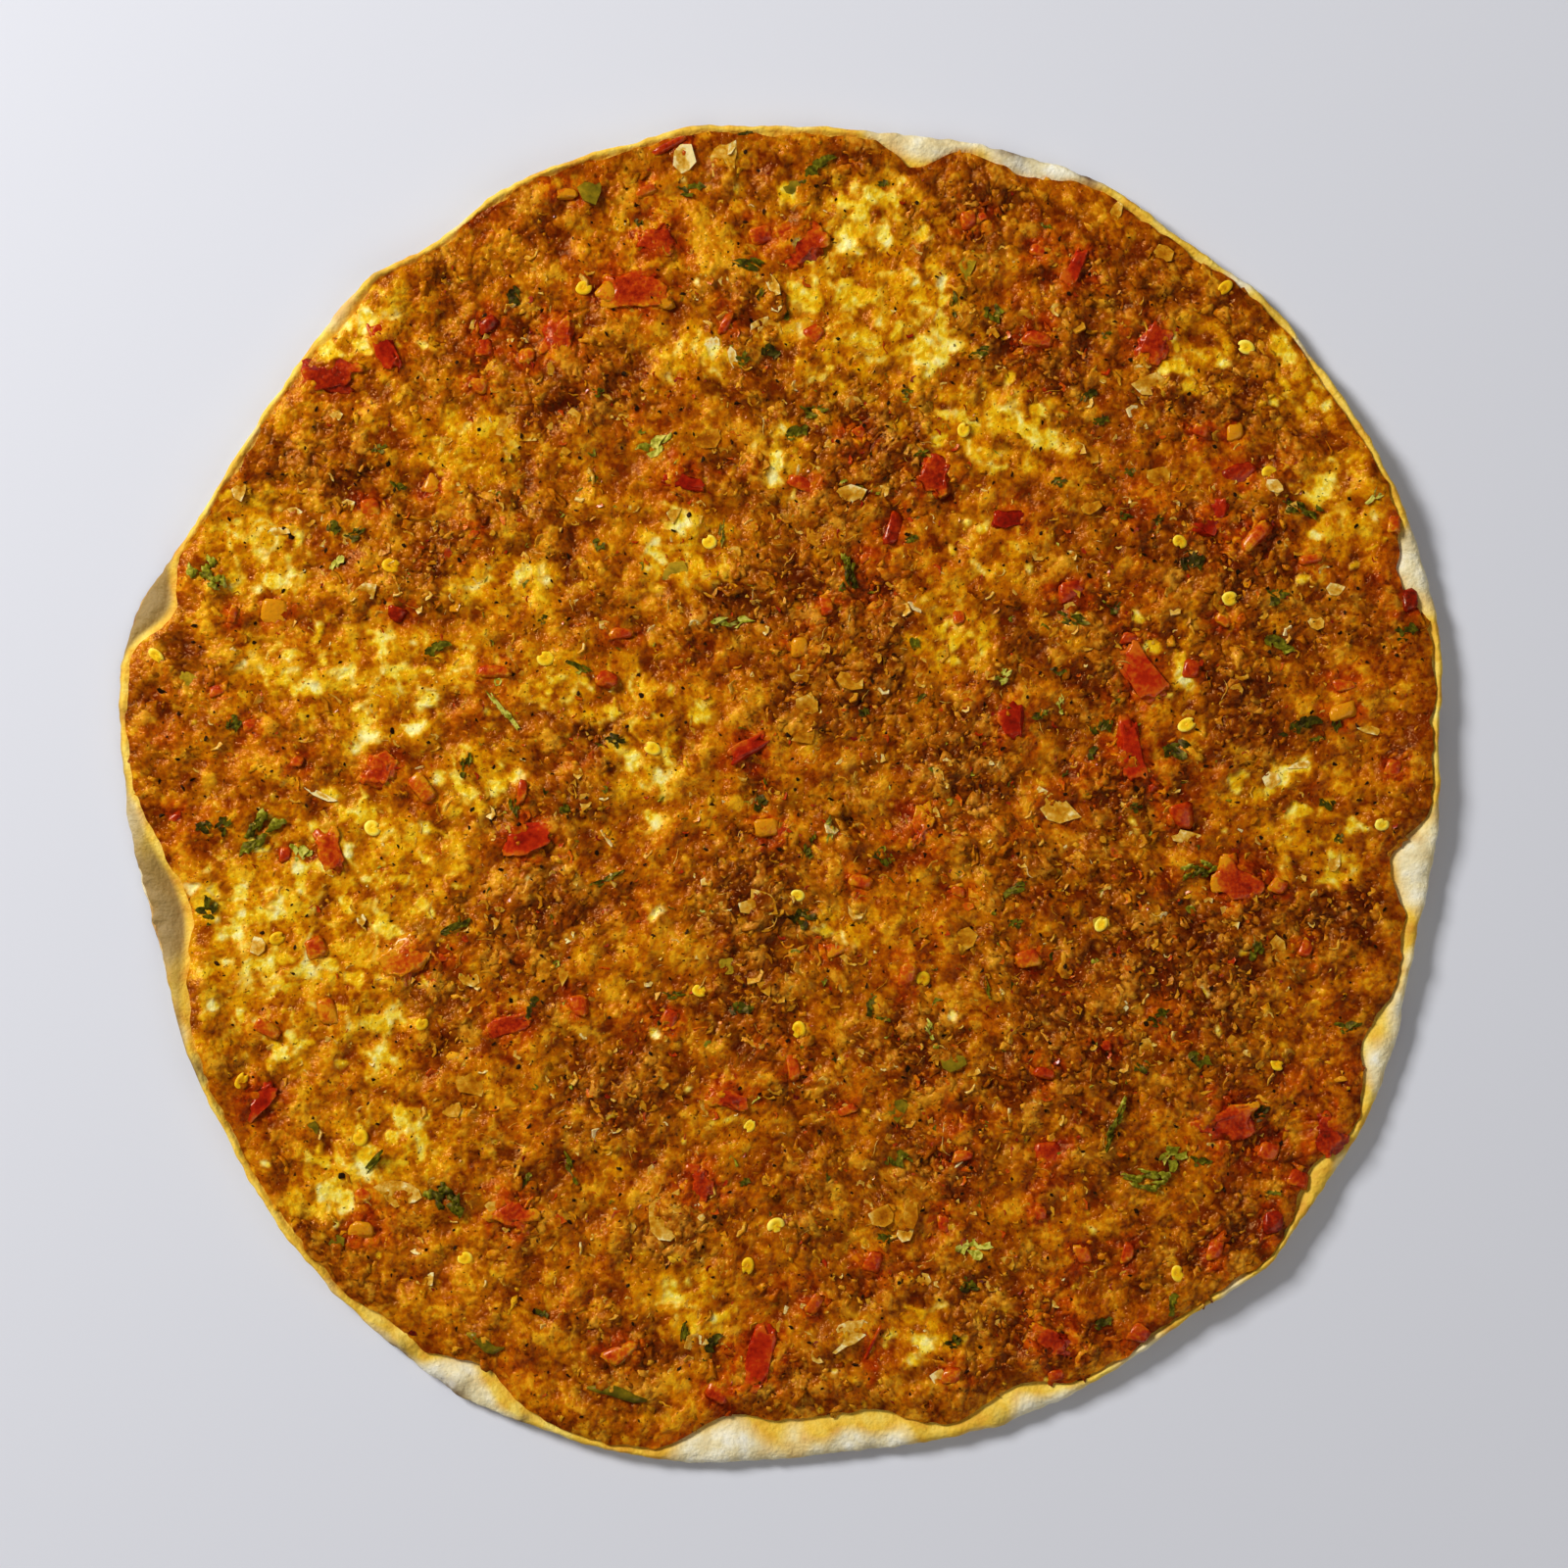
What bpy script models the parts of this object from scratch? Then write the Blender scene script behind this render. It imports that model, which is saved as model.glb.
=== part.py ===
"""Lahmacun: a thin round flatbread baked under spiced mince with chopped tomato, pepper, onion and parsley.

Metres, +Z up. The origin is the middle of the flat underside. The bread is one profile spun about Z and
pulled out to its uneven edge. The mince is one bumpy layer that lies on the bread, with its small crumbs
joined to it. The larger cut vegetables are pieces of their own and lie on the mince.
"""

import math
import random

import bmesh
import bpy
from mathutils import Matrix, Vector, noise
from mathutils.bvhtree import BVHTree

MM = 0.001
GAP = 0.3 * MM

# Flatbread
BREAD_RADIUS = 139.5 * MM
BREAD_THICKNESS = 2.6 * MM
BREAD_STEPS = 96
LIP_WIDTH = 1.8 * MM  # oily edge left bare outside the mince
LIP_RISE = 0.4 * MM
RIM_WIDTH = 17 * MM  # outer band that bakes up off the tray
RIM_LIFT = 0.7 * MM
# Each swell is an angle from +X and a half-width in degrees, then a height in millimetres.
EDGE_SWELLS = (
    (38, 31, 4.3), (47, 6, 1.8), (63, 7, 3.0), (73, 7, 2.0), (95, 17, 1.6), (98, 4, 1.2),
    (112, 9, 1.4), (123, 4, -1.8), (130, 6, 1.5), (150, 17, -3.0), (166, 8, 5.2), (176, 7, 0.9),
    (195, 10, -3.2), (210, 6, -1.2), (236, 14, 3.2), (243, 6, 2.0), (254, 7, 3.0), (263, 6, 1.8),
    (276, 6, -0.7), (290, 11, 0.6), (305, 6, -0.8), (316, 4, 2.2), (330, 9, 0.6), (348, 11, -4.0),
    (4, 7, -2.8),
)
RIM_CURLS = (
    (29, 9, 3.4), (58, 12, 1.2), (90, 14, 0.8), (112, 7, 2.6), (127, 5, 2.4), (151, 6, 2.0),
    (166, 12, -0.5), (204, 9, 4.0), (222, 7, 2.6), (316, 14, 1.6), (2, 12, 2.2), (343, 10, 1.0),
)

# Bays where the mince stops short and the pale rim shows, their last number a depth in millimetres.
MINCE_BAYS = (
    (19.5, 3.0, 4.5), (69, 3.5, 2.5), (78.5, 2.6, 5.0), (133, 3.0, 1.5), (163.5, 3.0, 6.0), (190, 7.5, 7.0),
    (234, 4.0, 2.0), (242, 4.0, 6.0), (264, 3.8, 6.5), (270, 5.5, 6.0), (278, 4.5, 6.0), (290.5, 4.5, 5.0),
    (325, 3.0, 3.0), (337, 4.0, 5.0), (349, 5.0, 1.5), (354, 3.2, 7.0),
)
MINCE_DEPTH = 1.8 * MM
MINCE_EDGE_DEPTH = 0.6 * MM
MINCE_TAPER = 5 * MM
MINCE_CELLS = 44
LUMP_SPAN = 13 * MM
CRUMB_SPAN = 6 * MM

# Crumbs joined to the mince
CRUMB_COUNT = 104
CRUMB_SIZES = (3.2 * MM, 6.0 * MM)
CRUMB_CLEARANCE = 1.2 * MM
TURN = math.radians(137.508)

# Cut vegetables: kind, centre x and y, length and width in millimetres, and turn from +X in degrees.
CUTS = (
    ("tomato", -96.0, 88.0, 11.0, 8.0, -10), ("pepper", -84.5, 94.5, 10.5, 5.0, 112),
    ("tomato", -48.5, 97.0, 8.5, 6.0, 75), ("tomato", -27.5, 117.0, 8.5, 6.0, 20),
    ("tomato", -32.0, 107.0, 12.0, 7.0, 5), ("tomato", 2.5, 116.5, 9.5, 8.5, 30),
    ("pepper", 60.5, 111.0, 9.5, 3.6, 62), ("tomato", 77.5, 95.5, 8.5, 7.0, 60),
    ("pepper", -22.0, 66.5, 9.5, 5.0, -15), ("tomato", 31.0, 67.5, 8.5, 7.0, 80),
    ("pepper", 47.0, 58.0, 7.5, 4.5, 8), ("pepper", 89.0, 58.5, 9.0, 5.0, 48),
    ("tomato", -86.0, 5.5, 7.5, 6.0, 70), ("pepper", -55.0, -9.0, 10.0, 5.0, 8),
    ("tomato", -96.0, -12.0, 9.0, 6.0, -65), ("tomato", -80.0, -34.5, 10.5, 6.5, 42),
    ("pepper", -8.5, 9.5, 9.5, 4.0, 33), ("pepper", 47.5, 15.5, 8.0, 5.0, 98),
    ("pepper", 75.0, 25.5, 12.0, 7.0, -50), ("pepper", 72.5, 9.5, 14.0, 5.5, 92),
    ("tomato", 28.0, -7.0, 8.0, 6.5, 80), ("tomato", 95.5, -18.0, 9.5, 7.5, -35),
    ("tomato", -59.0, -48.5, 10.0, 5.5, 12), ("tomato", -58.0, -88.0, 8.5, 6.0, -35),
    ("tomato", -12.5, -63.5, 8.0, 5.0, -25), ("tomato", -18.5, -82.0, 8.0, 6.0, -60),
    ("pepper", -6.5, -117.5, 13.0, 7.5, 80), ("pepper", -111.5, -64.0, 8.0, 4.2, 48),
    ("tomato", 92.5, -69.5, 12.5, 7.0, 4), ("tomato", 113.2, -71.2, 8.5, 7.5, -60),
    ("tomato", 56.0, -115.0, 9.0, 6.0, -10), ("onion", -57.5, 77.5, 10.0, 6.5, -30),
    ("onion", 56.5, -2.5, 11.5, 5.6, -36), ("onion", 12.5, -113.5, 11.5, 6.0, 42),
    ("onion", -25.0, -88.0, 10.5, 8.5, 68), ("onion", -5.5, -23.0, 9.0, 6.8, -5),
    ("onion", -82.0, -83.5, 10.0, 6.0, -12), ("onion", -66.0, -59.5, 10.5, 7.5, 62),
    ("onion", 84.5, -9.0, 8.5, 4.0, -8), ("onion", -13.5, 134.0, 9.0, 6.5, 80),
    ("parsley", -122.0, 46.5, 9.0, 7.5, -50), ("parsley", -111.5, -7.5, 12.0, 8.0, 35),
    ("parsley", -71.5, -85.0, 9.5, 7.5, -50), ("parsley", 75.5, -80.5, 10.5, 6.0, -8),
    ("parsley", 69.0, -69.0, 12.5, 3.2, 68), ("parsley", 108.5, 60.5, 9.0, 4.0, -14),
    ("parsley", 86.5, -15.5, 8.0, 4.5, 22), ("parsley", 12.8, 47.0, 8.5, 5.0, 95),
    ("green_pepper", -36.0, -126.0, 13.0, 7.0, -12), ("green_pepper", -64.0, -115.5, 8.5, 7.0, -20),
)
CUT_HEIGHTS = {"tomato": 2.4 * MM, "pepper": 2.2 * MM, "green_pepper": 2.0 * MM, "onion": 1.6 * MM}
LEAF_THICKNESS = 0.6 * MM
LEAF_WAVE = 0.5 * MM
LEAF_POINTS = 14
UNDERSIDE = 0.35  # share of a cut's rounded half-height that is left below its middle

FINISHES = {
    "bread": ((0.82, 0.64, 0.36), 0.75),
    "mince": ((0.40, 0.13, 0.015), 0.45),
    "tomato": ((0.55, 0.05, 0.01), 0.30),
    "pepper": ((0.50, 0.02, 0.01), 0.28),
    "green_pepper": ((0.10, 0.11, 0.01), 0.35),
    "onion": ((0.75, 0.48, 0.16), 0.32),
    "parsley": ((0.05, 0.10, 0.01), 0.45),
}


def clear_scene():
    for thing in list(bpy.data.objects):
        bpy.data.objects.remove(thing, do_unlink=True)


def new_collection(name):
    collection = bpy.data.collections.new(name)
    bpy.context.scene.collection.children.link(collection)
    return collection


def finish_material(name, finish):
    colour, roughness = FINISHES[finish]
    material = bpy.data.materials.new(name)
    material.use_nodes = True
    shader = material.node_tree.nodes["Principled BSDF"]
    shader.inputs["Base Color"].default_value = (*colour, 1.0)
    shader.inputs["Roughness"].default_value = roughness
    shader.inputs["Metallic"].default_value = 0.0
    return material


def object_from(bm, name, collection, finish):
    mesh = bpy.data.meshes.new(name)
    bm.normal_update()
    bm.to_mesh(mesh)
    bm.free()
    mesh.shade_smooth()
    mesh.materials.append(finish_material(name + "_finish", finish))
    thing = bpy.data.objects.new(name, mesh)
    collection.objects.link(thing)
    return thing


def swell(angle, swells):
    """Height at an angle of rounded swells given by centre, half-width and height."""
    total = 0.0
    for centre, half_width, height in swells:
        apart = (angle - centre + 180.0) % 360.0 - 180.0
        total += height * math.exp(-((apart / half_width) ** 2))
    return total * MM


def edge_radius(angle):
    return BREAD_RADIUS + swell(angle, EDGE_SWELLS)


def mince_radius(angle):
    return edge_radius(angle) - LIP_WIDTH - swell(angle, MINCE_BAYS)


def rim_lift(angle, radius):
    """How far the bread has curled up off the flat at a place on its outer band."""
    edge = edge_radius(angle)
    share = min(max((radius - edge + RIM_WIDTH) / RIM_WIDTH, 0.0), 1.0)
    return (RIM_LIFT + swell(angle, RIM_CURLS)) * share * share


def bread_profile():
    """Half section from the middle of the top, over the edge, to the middle of the underside."""
    edge = BREAD_RADIUS
    lip = edge - LIP_WIDTH
    top = BREAD_THICKNESS
    return (
        (0.0, top), (lip - 14 * MM, top), (lip - 6 * MM, top), (lip - 0.8 * MM, top - 0.1 * MM),
        (lip + 0.6 * MM, top + LIP_RISE), (edge - 0.45 * MM, top - 0.4 * MM), (edge, 0.5 * top),
        (edge - 0.7 * MM, 0.5 * MM), (edge - 7 * MM, 0.0), (edge - RIM_WIDTH, 0.0), (0.0, 0.0),
    )


def pulled_to_edge(place):
    """A point of the round bread moved to where the uneven, curled bread has it."""
    radius = place.xy.length
    if radius < MM:
        return place
    angle = math.degrees(math.atan2(place.y, place.x))
    lip = BREAD_RADIUS - LIP_WIDTH
    if place.z < 0.6 * BREAD_THICKNESS:
        pulled = radius * edge_radius(angle) / BREAD_RADIUS
    elif radius <= lip:
        pulled = radius * mince_radius(angle) / lip
    else:
        share = (radius - lip) / LIP_WIDTH
        pulled = mince_radius(angle) + share * (edge_radius(angle) - mince_radius(angle))
    flat = place.xy * (pulled / radius)
    return Vector((flat.x, flat.y, place.z + rim_lift(angle, pulled)))


def make_flatbread(collection):
    bm = bmesh.new()
    points = [bm.verts.new((radius, 0.0, height)) for radius, height in bread_profile()]
    edges = [bm.edges.new(pair) for pair in zip(points, points[1:])]
    bmesh.ops.spin(
        bm, geom=points + edges, axis=(0, 0, 1), cent=(0, 0, 0), angle=math.tau,
        steps=BREAD_STEPS, use_merge=True,
    )
    bmesh.ops.remove_doubles(bm, verts=bm.verts, dist=0.01 * MM)
    for vert in bm.verts:
        vert.co = pulled_to_edge(vert.co)
    bmesh.ops.recalc_face_normals(bm, faces=bm.faces)
    return object_from(bm, "flatbread", collection, "bread")


def tree_of(thing):
    graph = bpy.context.evaluated_depsgraph_get()
    return BVHTree.FromObject(thing, graph)


def height_at(trees, x, y, reach=0.0):
    """Top of the surfaces at a place, or the highest top within a reach of it."""
    steps = ((0, 0), (1, 0), (-1, 0), (0, 1), (0, -1), (0.7, 0.7), (-0.7, 0.7), (0.7, -0.7), (-0.7, -0.7))
    best = 0.0
    for across, along in steps[: 9 if reach else 1]:
        start = Vector((x + across * reach, y + along * reach, 50 * MM))
        for tree in trees:
            hit = tree.ray_cast(start, Vector((0, 0, -1)))[0]
            if hit:
                best = max(best, hit.z)
    return best


def mince_depth(x, y):
    """Depth of the mince over the bread: soft lumps and smaller crumbs, thin at the edge."""
    angle = math.degrees(math.atan2(y, x))
    inside = mince_radius(angle) - math.hypot(x, y)
    share = min(max(inside / MINCE_TAPER, 0.0), 1.0)
    lumps = noise.noise(Vector((x, y, 0.0)) / LUMP_SPAN)
    crumbs = noise.noise(Vector((x, y, 0.1)) / CRUMB_SPAN)
    full = MINCE_DEPTH * (1.0 + 0.45 * lumps + 0.35 * crumbs)
    return MINCE_EDGE_DEPTH + (full - MINCE_EDGE_DEPTH) * share * (2.0 - share)


def closed_below(bm, drop):
    """Closes an open sheet with a copy of it below, each point as far down as drop says."""
    top = list(bm.faces)
    rim = [edge for edge in bm.edges if edge.is_boundary]
    copy = bmesh.ops.duplicate(bm, geom=list(bm.verts) + list(bm.edges) + top)
    below = [part for part in copy["geom"] if isinstance(part, bmesh.types.BMVert)]
    under = [part for part in copy["geom"] if isinstance(part, bmesh.types.BMFace)]
    under_rim = [copy["edge_map"][edge] for edge in rim]
    for vert in below:
        vert.co.z -= drop(vert.co)
    bmesh.ops.reverse_faces(bm, faces=under)
    bmesh.ops.bridge_loops(bm, edges=rim + under_rim)
    bmesh.ops.triangulate(bm, faces=bm.faces)
    bmesh.ops.recalc_face_normals(bm, faces=bm.faces)


def make_mince_block(bread, helpers):
    """A slab with the bumpy top of the mince, its underside inside the bread."""
    bm = bmesh.new()
    bmesh.ops.create_grid(bm, x_segments=MINCE_CELLS, y_segments=MINCE_CELLS, size=1.0)
    for vert in bm.verts:
        across, along = vert.co.x, vert.co.y
        x = across * math.sqrt(1.0 - along * along / 2.0)
        y = along * math.sqrt(1.0 - across * across / 2.0)
        radius = mince_radius(math.degrees(math.atan2(y, x)))
        x, y = x * radius, y * radius
        vert.co = Vector((x, y, height_at(bread, x, y) + GAP + mince_depth(x, y)))

    def down_into_bread(place):
        return mince_depth(place.x, place.y) + GAP + 0.45 * BREAD_THICKNESS

    closed_below(bm, down_into_bread)
    return object_from(bm, "meat_topping", helpers, "mince")


def clear_of_cuts(x, y, margin):
    for _, cut_x, cut_y, length, width, _ in CUTS:
        reach = 0.25 * (length + width) * MM + 0.15 * length * MM
        if math.hypot(x - cut_x * MM, y - cut_y * MM) < reach + margin:
            return False
    return True


def make_crumbs(block, crumbs):
    """Lumps of mince and chopped vegetable, spread evenly by the golden angle, largest first."""
    rng = random.Random(7)
    smallest, largest = CRUMB_SIZES
    for number in range(CRUMB_COUNT):
        angle = number * TURN
        radius = math.sqrt((number + 0.5) / CRUMB_COUNT) * (mince_radius(math.degrees(angle)) - 6 * MM)
        x = radius * math.cos(angle) + rng.uniform(-2, 2) * MM
        y = radius * math.sin(angle) + rng.uniform(-2, 2) * MM
        size = smallest + (largest - smallest) * rng.random() ** 2
        turn = Matrix.Rotation(rng.uniform(0, math.tau), 4, "Z")
        squash = Matrix.Diagonal((0.5 * size, rng.uniform(0.3, 0.45) * size, 0.26 * size, 1.0))
        if not clear_of_cuts(x, y, 0.5 * size + CRUMB_CLEARANCE):
            continue
        bm = bmesh.new()
        place = Matrix.Translation((x, y, height_at(block, x, y) + 0.05 * size))
        bmesh.ops.create_icosphere(bm, subdivisions=1, radius=1.0, matrix=place @ turn @ squash)
        object_from(bm, f"crumb_{number:03d}", crumbs, "mince")


def applied(thing):
    """Replaces an object's mesh with its evaluated one and drops its modifiers."""
    graph = bpy.context.evaluated_depsgraph_get()
    mesh = bpy.data.meshes.new_from_object(thing.evaluated_get(graph))
    thing.modifiers.clear()
    thing.data = mesh


def without_scraps(thing):
    """Keeps only the largest of an object's closed bodies."""
    bm = bmesh.new()
    bm.from_mesh(thing.data)
    bmesh.ops.remove_doubles(bm, verts=bm.verts, dist=0.01 * MM)
    left = set(bm.verts)
    bodies = []
    while left:
        body = set()
        front = [left.pop()]
        while front:
            vert = front.pop()
            body.add(vert)
            near = {edge.other_vert(vert) for edge in vert.link_edges} & left
            left -= near
            front.extend(near)
        bodies.append(body)
    bodies.sort(key=len)
    scraps = [vert for body in bodies[:-1] for vert in body]
    bmesh.ops.delete(bm, geom=scraps, context="VERTS")
    bm.to_mesh(thing.data)
    bm.free()


def make_mince(flatbread, collection, helpers):
    raised = flatbread.copy()
    raised.data = flatbread.data.copy()
    raised.data.transform(Matrix.Translation((0, 0, GAP)))
    helpers.objects.link(raised)
    block = make_mince_block([tree_of(flatbread)], helpers)
    crumbs = new_collection("crumbs")
    make_crumbs([tree_of(block)], crumbs)
    cut = block.modifiers.new("lies_on_bread", "BOOLEAN")
    cut.operation = "DIFFERENCE"
    cut.object = raised
    joined = block.modifiers.new("with_crumbs", "BOOLEAN")
    joined.operation = "UNION"
    joined.operand_type = "COLLECTION"
    joined.collection = crumbs
    applied(block)
    without_scraps(block)
    for crumb in list(crumbs.objects):
        bpy.data.objects.remove(crumb, do_unlink=True)
    bpy.data.collections.remove(crumbs)
    helpers.objects.unlink(block)
    collection.objects.link(block)
    bpy.data.objects.remove(raised, do_unlink=True)
    return block


def boxed(value, power=0.72):
    """Pushes a coordinate of a ball outwards, so that a cut piece has blunt corners."""
    return math.copysign(abs(value) ** power, value)


def make_chunk(bm, length, width, height, seed):
    """A blunt lump with a flat underside at zero height."""
    bmesh.ops.create_icosphere(bm, subdivisions=2, radius=1.0)
    for vert in bm.verts:
        rough = 1.0 + 0.16 * noise.noise(vert.co * 1.3 + Vector((seed, 0, 0)))
        up = (max(vert.co.z, -UNDERSIDE) + UNDERSIDE) / (1.0 + UNDERSIDE)
        vert.co = Vector((
            0.5 * length * boxed(vert.co.x) * rough,
            0.5 * width * boxed(vert.co.y) * rough,
            height * up,
        ))


def make_leaf(bm, length, width, seed):
    """A flat lobed leaf, each point raised a little by its curl."""
    bmesh.ops.create_circle(bm, cap_ends=True, cap_tris=True, segments=LEAF_POINTS, radius=1.0)
    lobes = 3 if length < 2.2 * width else 1
    for vert in bm.verts:
        round_to = math.atan2(vert.co.y, vert.co.x)
        reach = 1.0 + 0.20 * math.cos(lobes * round_to + seed) * (vert.co.length > 0.5)
        curl = LEAF_WAVE * (1.0 + math.sin(2.0 * round_to + seed))
        vert.co = Vector((0.5 * length * vert.co.x * reach, 0.5 * width * vert.co.y * reach, curl))


def lay_on(bm, trees, x, y, turn):
    """Turns a piece, moves it to its place and lets it follow the surface below."""
    bmesh.ops.rotate(bm, verts=bm.verts, cent=(0, 0, 0), matrix=Matrix.Rotation(turn, 3, "Z"))
    for vert in bm.verts:
        vert.co.x += x
        vert.co.y += y
        vert.co.z += height_at(trees, vert.co.x, vert.co.y, reach=0.9 * MM) + GAP


def raised_clear(bm, trees):
    """Lifts a piece in small steps until it touches nothing below."""
    while any(tree.overlap(BVHTree.FromBMesh(bm)) for tree in trees):
        bmesh.ops.translate(bm, verts=bm.verts, vec=(0, 0, 0.1 * MM))


def make_cuts(flatbread, mince, collection):
    below = [tree_of(flatbread), tree_of(mince)]
    counts = {}
    for kind, x, y, length, width, turn in CUTS:
        counts[kind] = counts.get(kind, 0) + 1
        seed = 7.3 * len(collection.objects)
        bm = bmesh.new()
        if kind == "parsley":
            make_leaf(bm, length * MM, width * MM, seed)
        else:
            make_chunk(bm, length * MM, width * MM, CUT_HEIGHTS[kind], seed)
        lay_on(bm, below, x * MM, y * MM, math.radians(turn))
        if kind == "parsley":
            bmesh.ops.translate(bm, verts=bm.verts, vec=(0, 0, LEAF_THICKNESS))
            closed_below(bm, lambda place: LEAF_THICKNESS)
        raised_clear(bm, below)
        object_from(bm, f"{kind}_{counts[kind]:02d}", collection, kind)


def main():
    clear_scene()
    lahmacun = new_collection("lahmacun")
    helpers = new_collection("helpers")
    flatbread = make_flatbread(lahmacun)
    mince = make_mince(flatbread, lahmacun, helpers)
    make_cuts(flatbread, mince, lahmacun)


main()
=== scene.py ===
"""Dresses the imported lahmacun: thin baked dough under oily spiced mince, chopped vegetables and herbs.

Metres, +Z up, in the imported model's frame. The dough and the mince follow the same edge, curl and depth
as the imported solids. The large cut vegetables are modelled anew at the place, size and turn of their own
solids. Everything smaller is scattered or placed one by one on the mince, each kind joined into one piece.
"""

import math

import bmesh
import bpy
import numpy as np
from mathutils import Matrix, Vector, noise


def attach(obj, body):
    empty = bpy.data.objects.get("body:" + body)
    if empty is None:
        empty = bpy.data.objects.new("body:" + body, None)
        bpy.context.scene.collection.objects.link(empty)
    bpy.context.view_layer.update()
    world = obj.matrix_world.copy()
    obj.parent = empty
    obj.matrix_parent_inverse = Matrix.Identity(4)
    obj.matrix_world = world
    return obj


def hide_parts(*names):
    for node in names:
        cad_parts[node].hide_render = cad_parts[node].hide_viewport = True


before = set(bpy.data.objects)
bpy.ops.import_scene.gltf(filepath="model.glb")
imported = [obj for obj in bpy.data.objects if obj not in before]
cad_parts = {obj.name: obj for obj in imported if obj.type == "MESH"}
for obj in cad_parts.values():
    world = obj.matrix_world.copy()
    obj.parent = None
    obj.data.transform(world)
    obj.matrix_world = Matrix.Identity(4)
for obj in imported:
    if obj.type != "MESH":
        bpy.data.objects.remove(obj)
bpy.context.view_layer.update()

MM = 0.001
GAP = 0.3 * MM
TURN = math.radians(137.508)  # golden angle, which spreads places evenly

# Camera: straight down, 330.4 mm of table across the picture
PICTURE_WIDTH = 330.4 * MM
PICTURE_CENTRE = (-0.8 * MM, 2.5 * MM)
LENS = 100.0
SENSOR = 36.0

# Flatbread
BREAD_RADIUS = 139.5 * MM
BREAD_THICKNESS = 2.6 * MM
BREAD_STEPS = 1080
LIP_WIDTH = 1.8 * MM
RIM_WIDTH = 17 * MM
RIM_LIFT = 0.7 * MM
# Each swell is an angle from +X and a half-width in degrees, then a height in millimetres.
EDGE_SWELLS = (
    (38, 31, 4.3), (47, 6, 1.8), (63, 7, 3.0), (73, 7, 2.0), (95, 17, 1.6), (98, 4, 1.2),
    (112, 9, 1.4), (123, 4, -1.8), (130, 6, 1.5), (150, 17, -3.0), (166, 8, 5.2), (176, 7, 0.9),
    (195, 10, -3.2), (210, 6, -1.2), (236, 14, 3.2), (243, 6, 2.0), (254, 7, 3.0), (263, 6, 1.8),
    (276, 6, -0.7), (290, 11, 0.6), (305, 6, -0.8), (316, 4, 2.2), (330, 9, 0.6), (348, 11, -4.0),
    (4, 7, -2.8),
)
RIM_CURLS = (
    (29, 9, 3.4), (58, 12, 1.2), (90, 14, 0.8), (112, 7, 2.6), (127, 5, 2.4), (151, 6, 2.0),
    (166, 12, -0.5), (204, 9, 4.0), (222, 7, 2.6), (316, 14, 1.6), (2, 12, 2.2), (343, 10, 1.0),
)
# Flaps where the dough outside the topping sinks lower than the topping's own edge
RIM_FLAPS = ((164, 7, 1.3), (176, 6, 0.9), (190, 6, 1.5), (202, 4, 1.0))
# Stretches of the rim left white with flour: angle and half-width in degrees, and amount
FLOURED = (
    (73, 8, 1.3), (19.5, 4, 1.2), (263, 5, 1.0), (303, 9, 0.9), (336, 9, 0.8), (354, 5, 0.5),
    (50, 6, 0.4), (240, 5, 0.6),
)
# Blisters on the rim: angle in degrees, distance in from the edge, radius and height in millimetres
BLISTERS = (
    (70.8, 2.0, 3.0, 0.9), (78.0, 3.5, 3.5, 0.5), (235.0, 3.2, 2.6, 1.0), (240.5, 3.0, 2.4, 0.8),
    (265.0, 3.5, 3.6, 0.6), (273.0, 4.0, 4.0, 0.5), (281.0, 3.0, 3.0, 0.6), (291.0, 3.5, 3.4, 0.5),
    (164.0, 4.0, 3.5, 0.5), (190.0, 4.0, 3.2, 0.5), (337.0, 4.0, 3.2, 0.5), (354.0, 4.5, 3.6, 0.6),
    (19.5, 3.4, 2.8, 0.5),
)
CHARRED = ((70.8, 1.6), (235.0, 1.5), (240.5, 1.4), (64.0, 1.0), (247.0, 0.9), (205.0, 1.3))

# Bays where the mince stops short and the pale rim shows, their last number a depth in millimetres
MINCE_BAYS = (
    (19.5, 3.0, 4.5), (69, 3.5, 2.5), (78.5, 2.6, 5.0), (133, 3.0, 1.5), (163.5, 3.0, 6.0), (190, 7.5, 7.0),
    (234, 4.0, 2.0), (242, 4.0, 6.0), (264, 3.8, 6.5), (270, 5.5, 6.0), (278, 4.5, 6.0), (290.5, 4.5, 5.0),
    (325, 3.0, 3.0), (337, 4.0, 5.0), (349, 5.0, 1.5), (354, 3.2, 7.0),
)
MINCE_DEPTH = 1.8 * MM
MINCE_EDGE_DEPTH = 0.6 * MM
MINCE_TAPER = 5 * MM
MINCE_CELLS = 286  # along each side of a quarter of the sheet
LUMP_SPAN = 13 * MM
CRUMB_SPAN = 6 * MM
CRUMB_LAYER = 100 * MM / CRUMB_SPAN
SOFT_LUMP_SPAN = 5 * MM
COARSE_MASH = 3.3 * MM
FINE_MASH = 1.7 * MM
SMEAR_SPAN = 13 * MM
THREAD_SPAN = 8 * MM
PASTE_WALL = 1.4 * MM
PASTE_FLOOR = 1.3 * MM
OIL_REACH = 4.4 * MM  # how far the fat creeps out over the rim
SCATTER_MARGIN = 1.0 * MM
SCATTER_JITTER = 1.0 * MM
# Patterns of noise added up: the span in millimetres, the layer and the weight of each
RAGGED = ((3.8, 3.1, 0.8), (1.6, 4.7, 0.45))
CORES = ((4.4, 41.3, 2.2), (2.0, 43.3, 0.9))
DRIFTS = ((16, 6.3, 1.0), (6, 7.3, 0.5))

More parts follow.
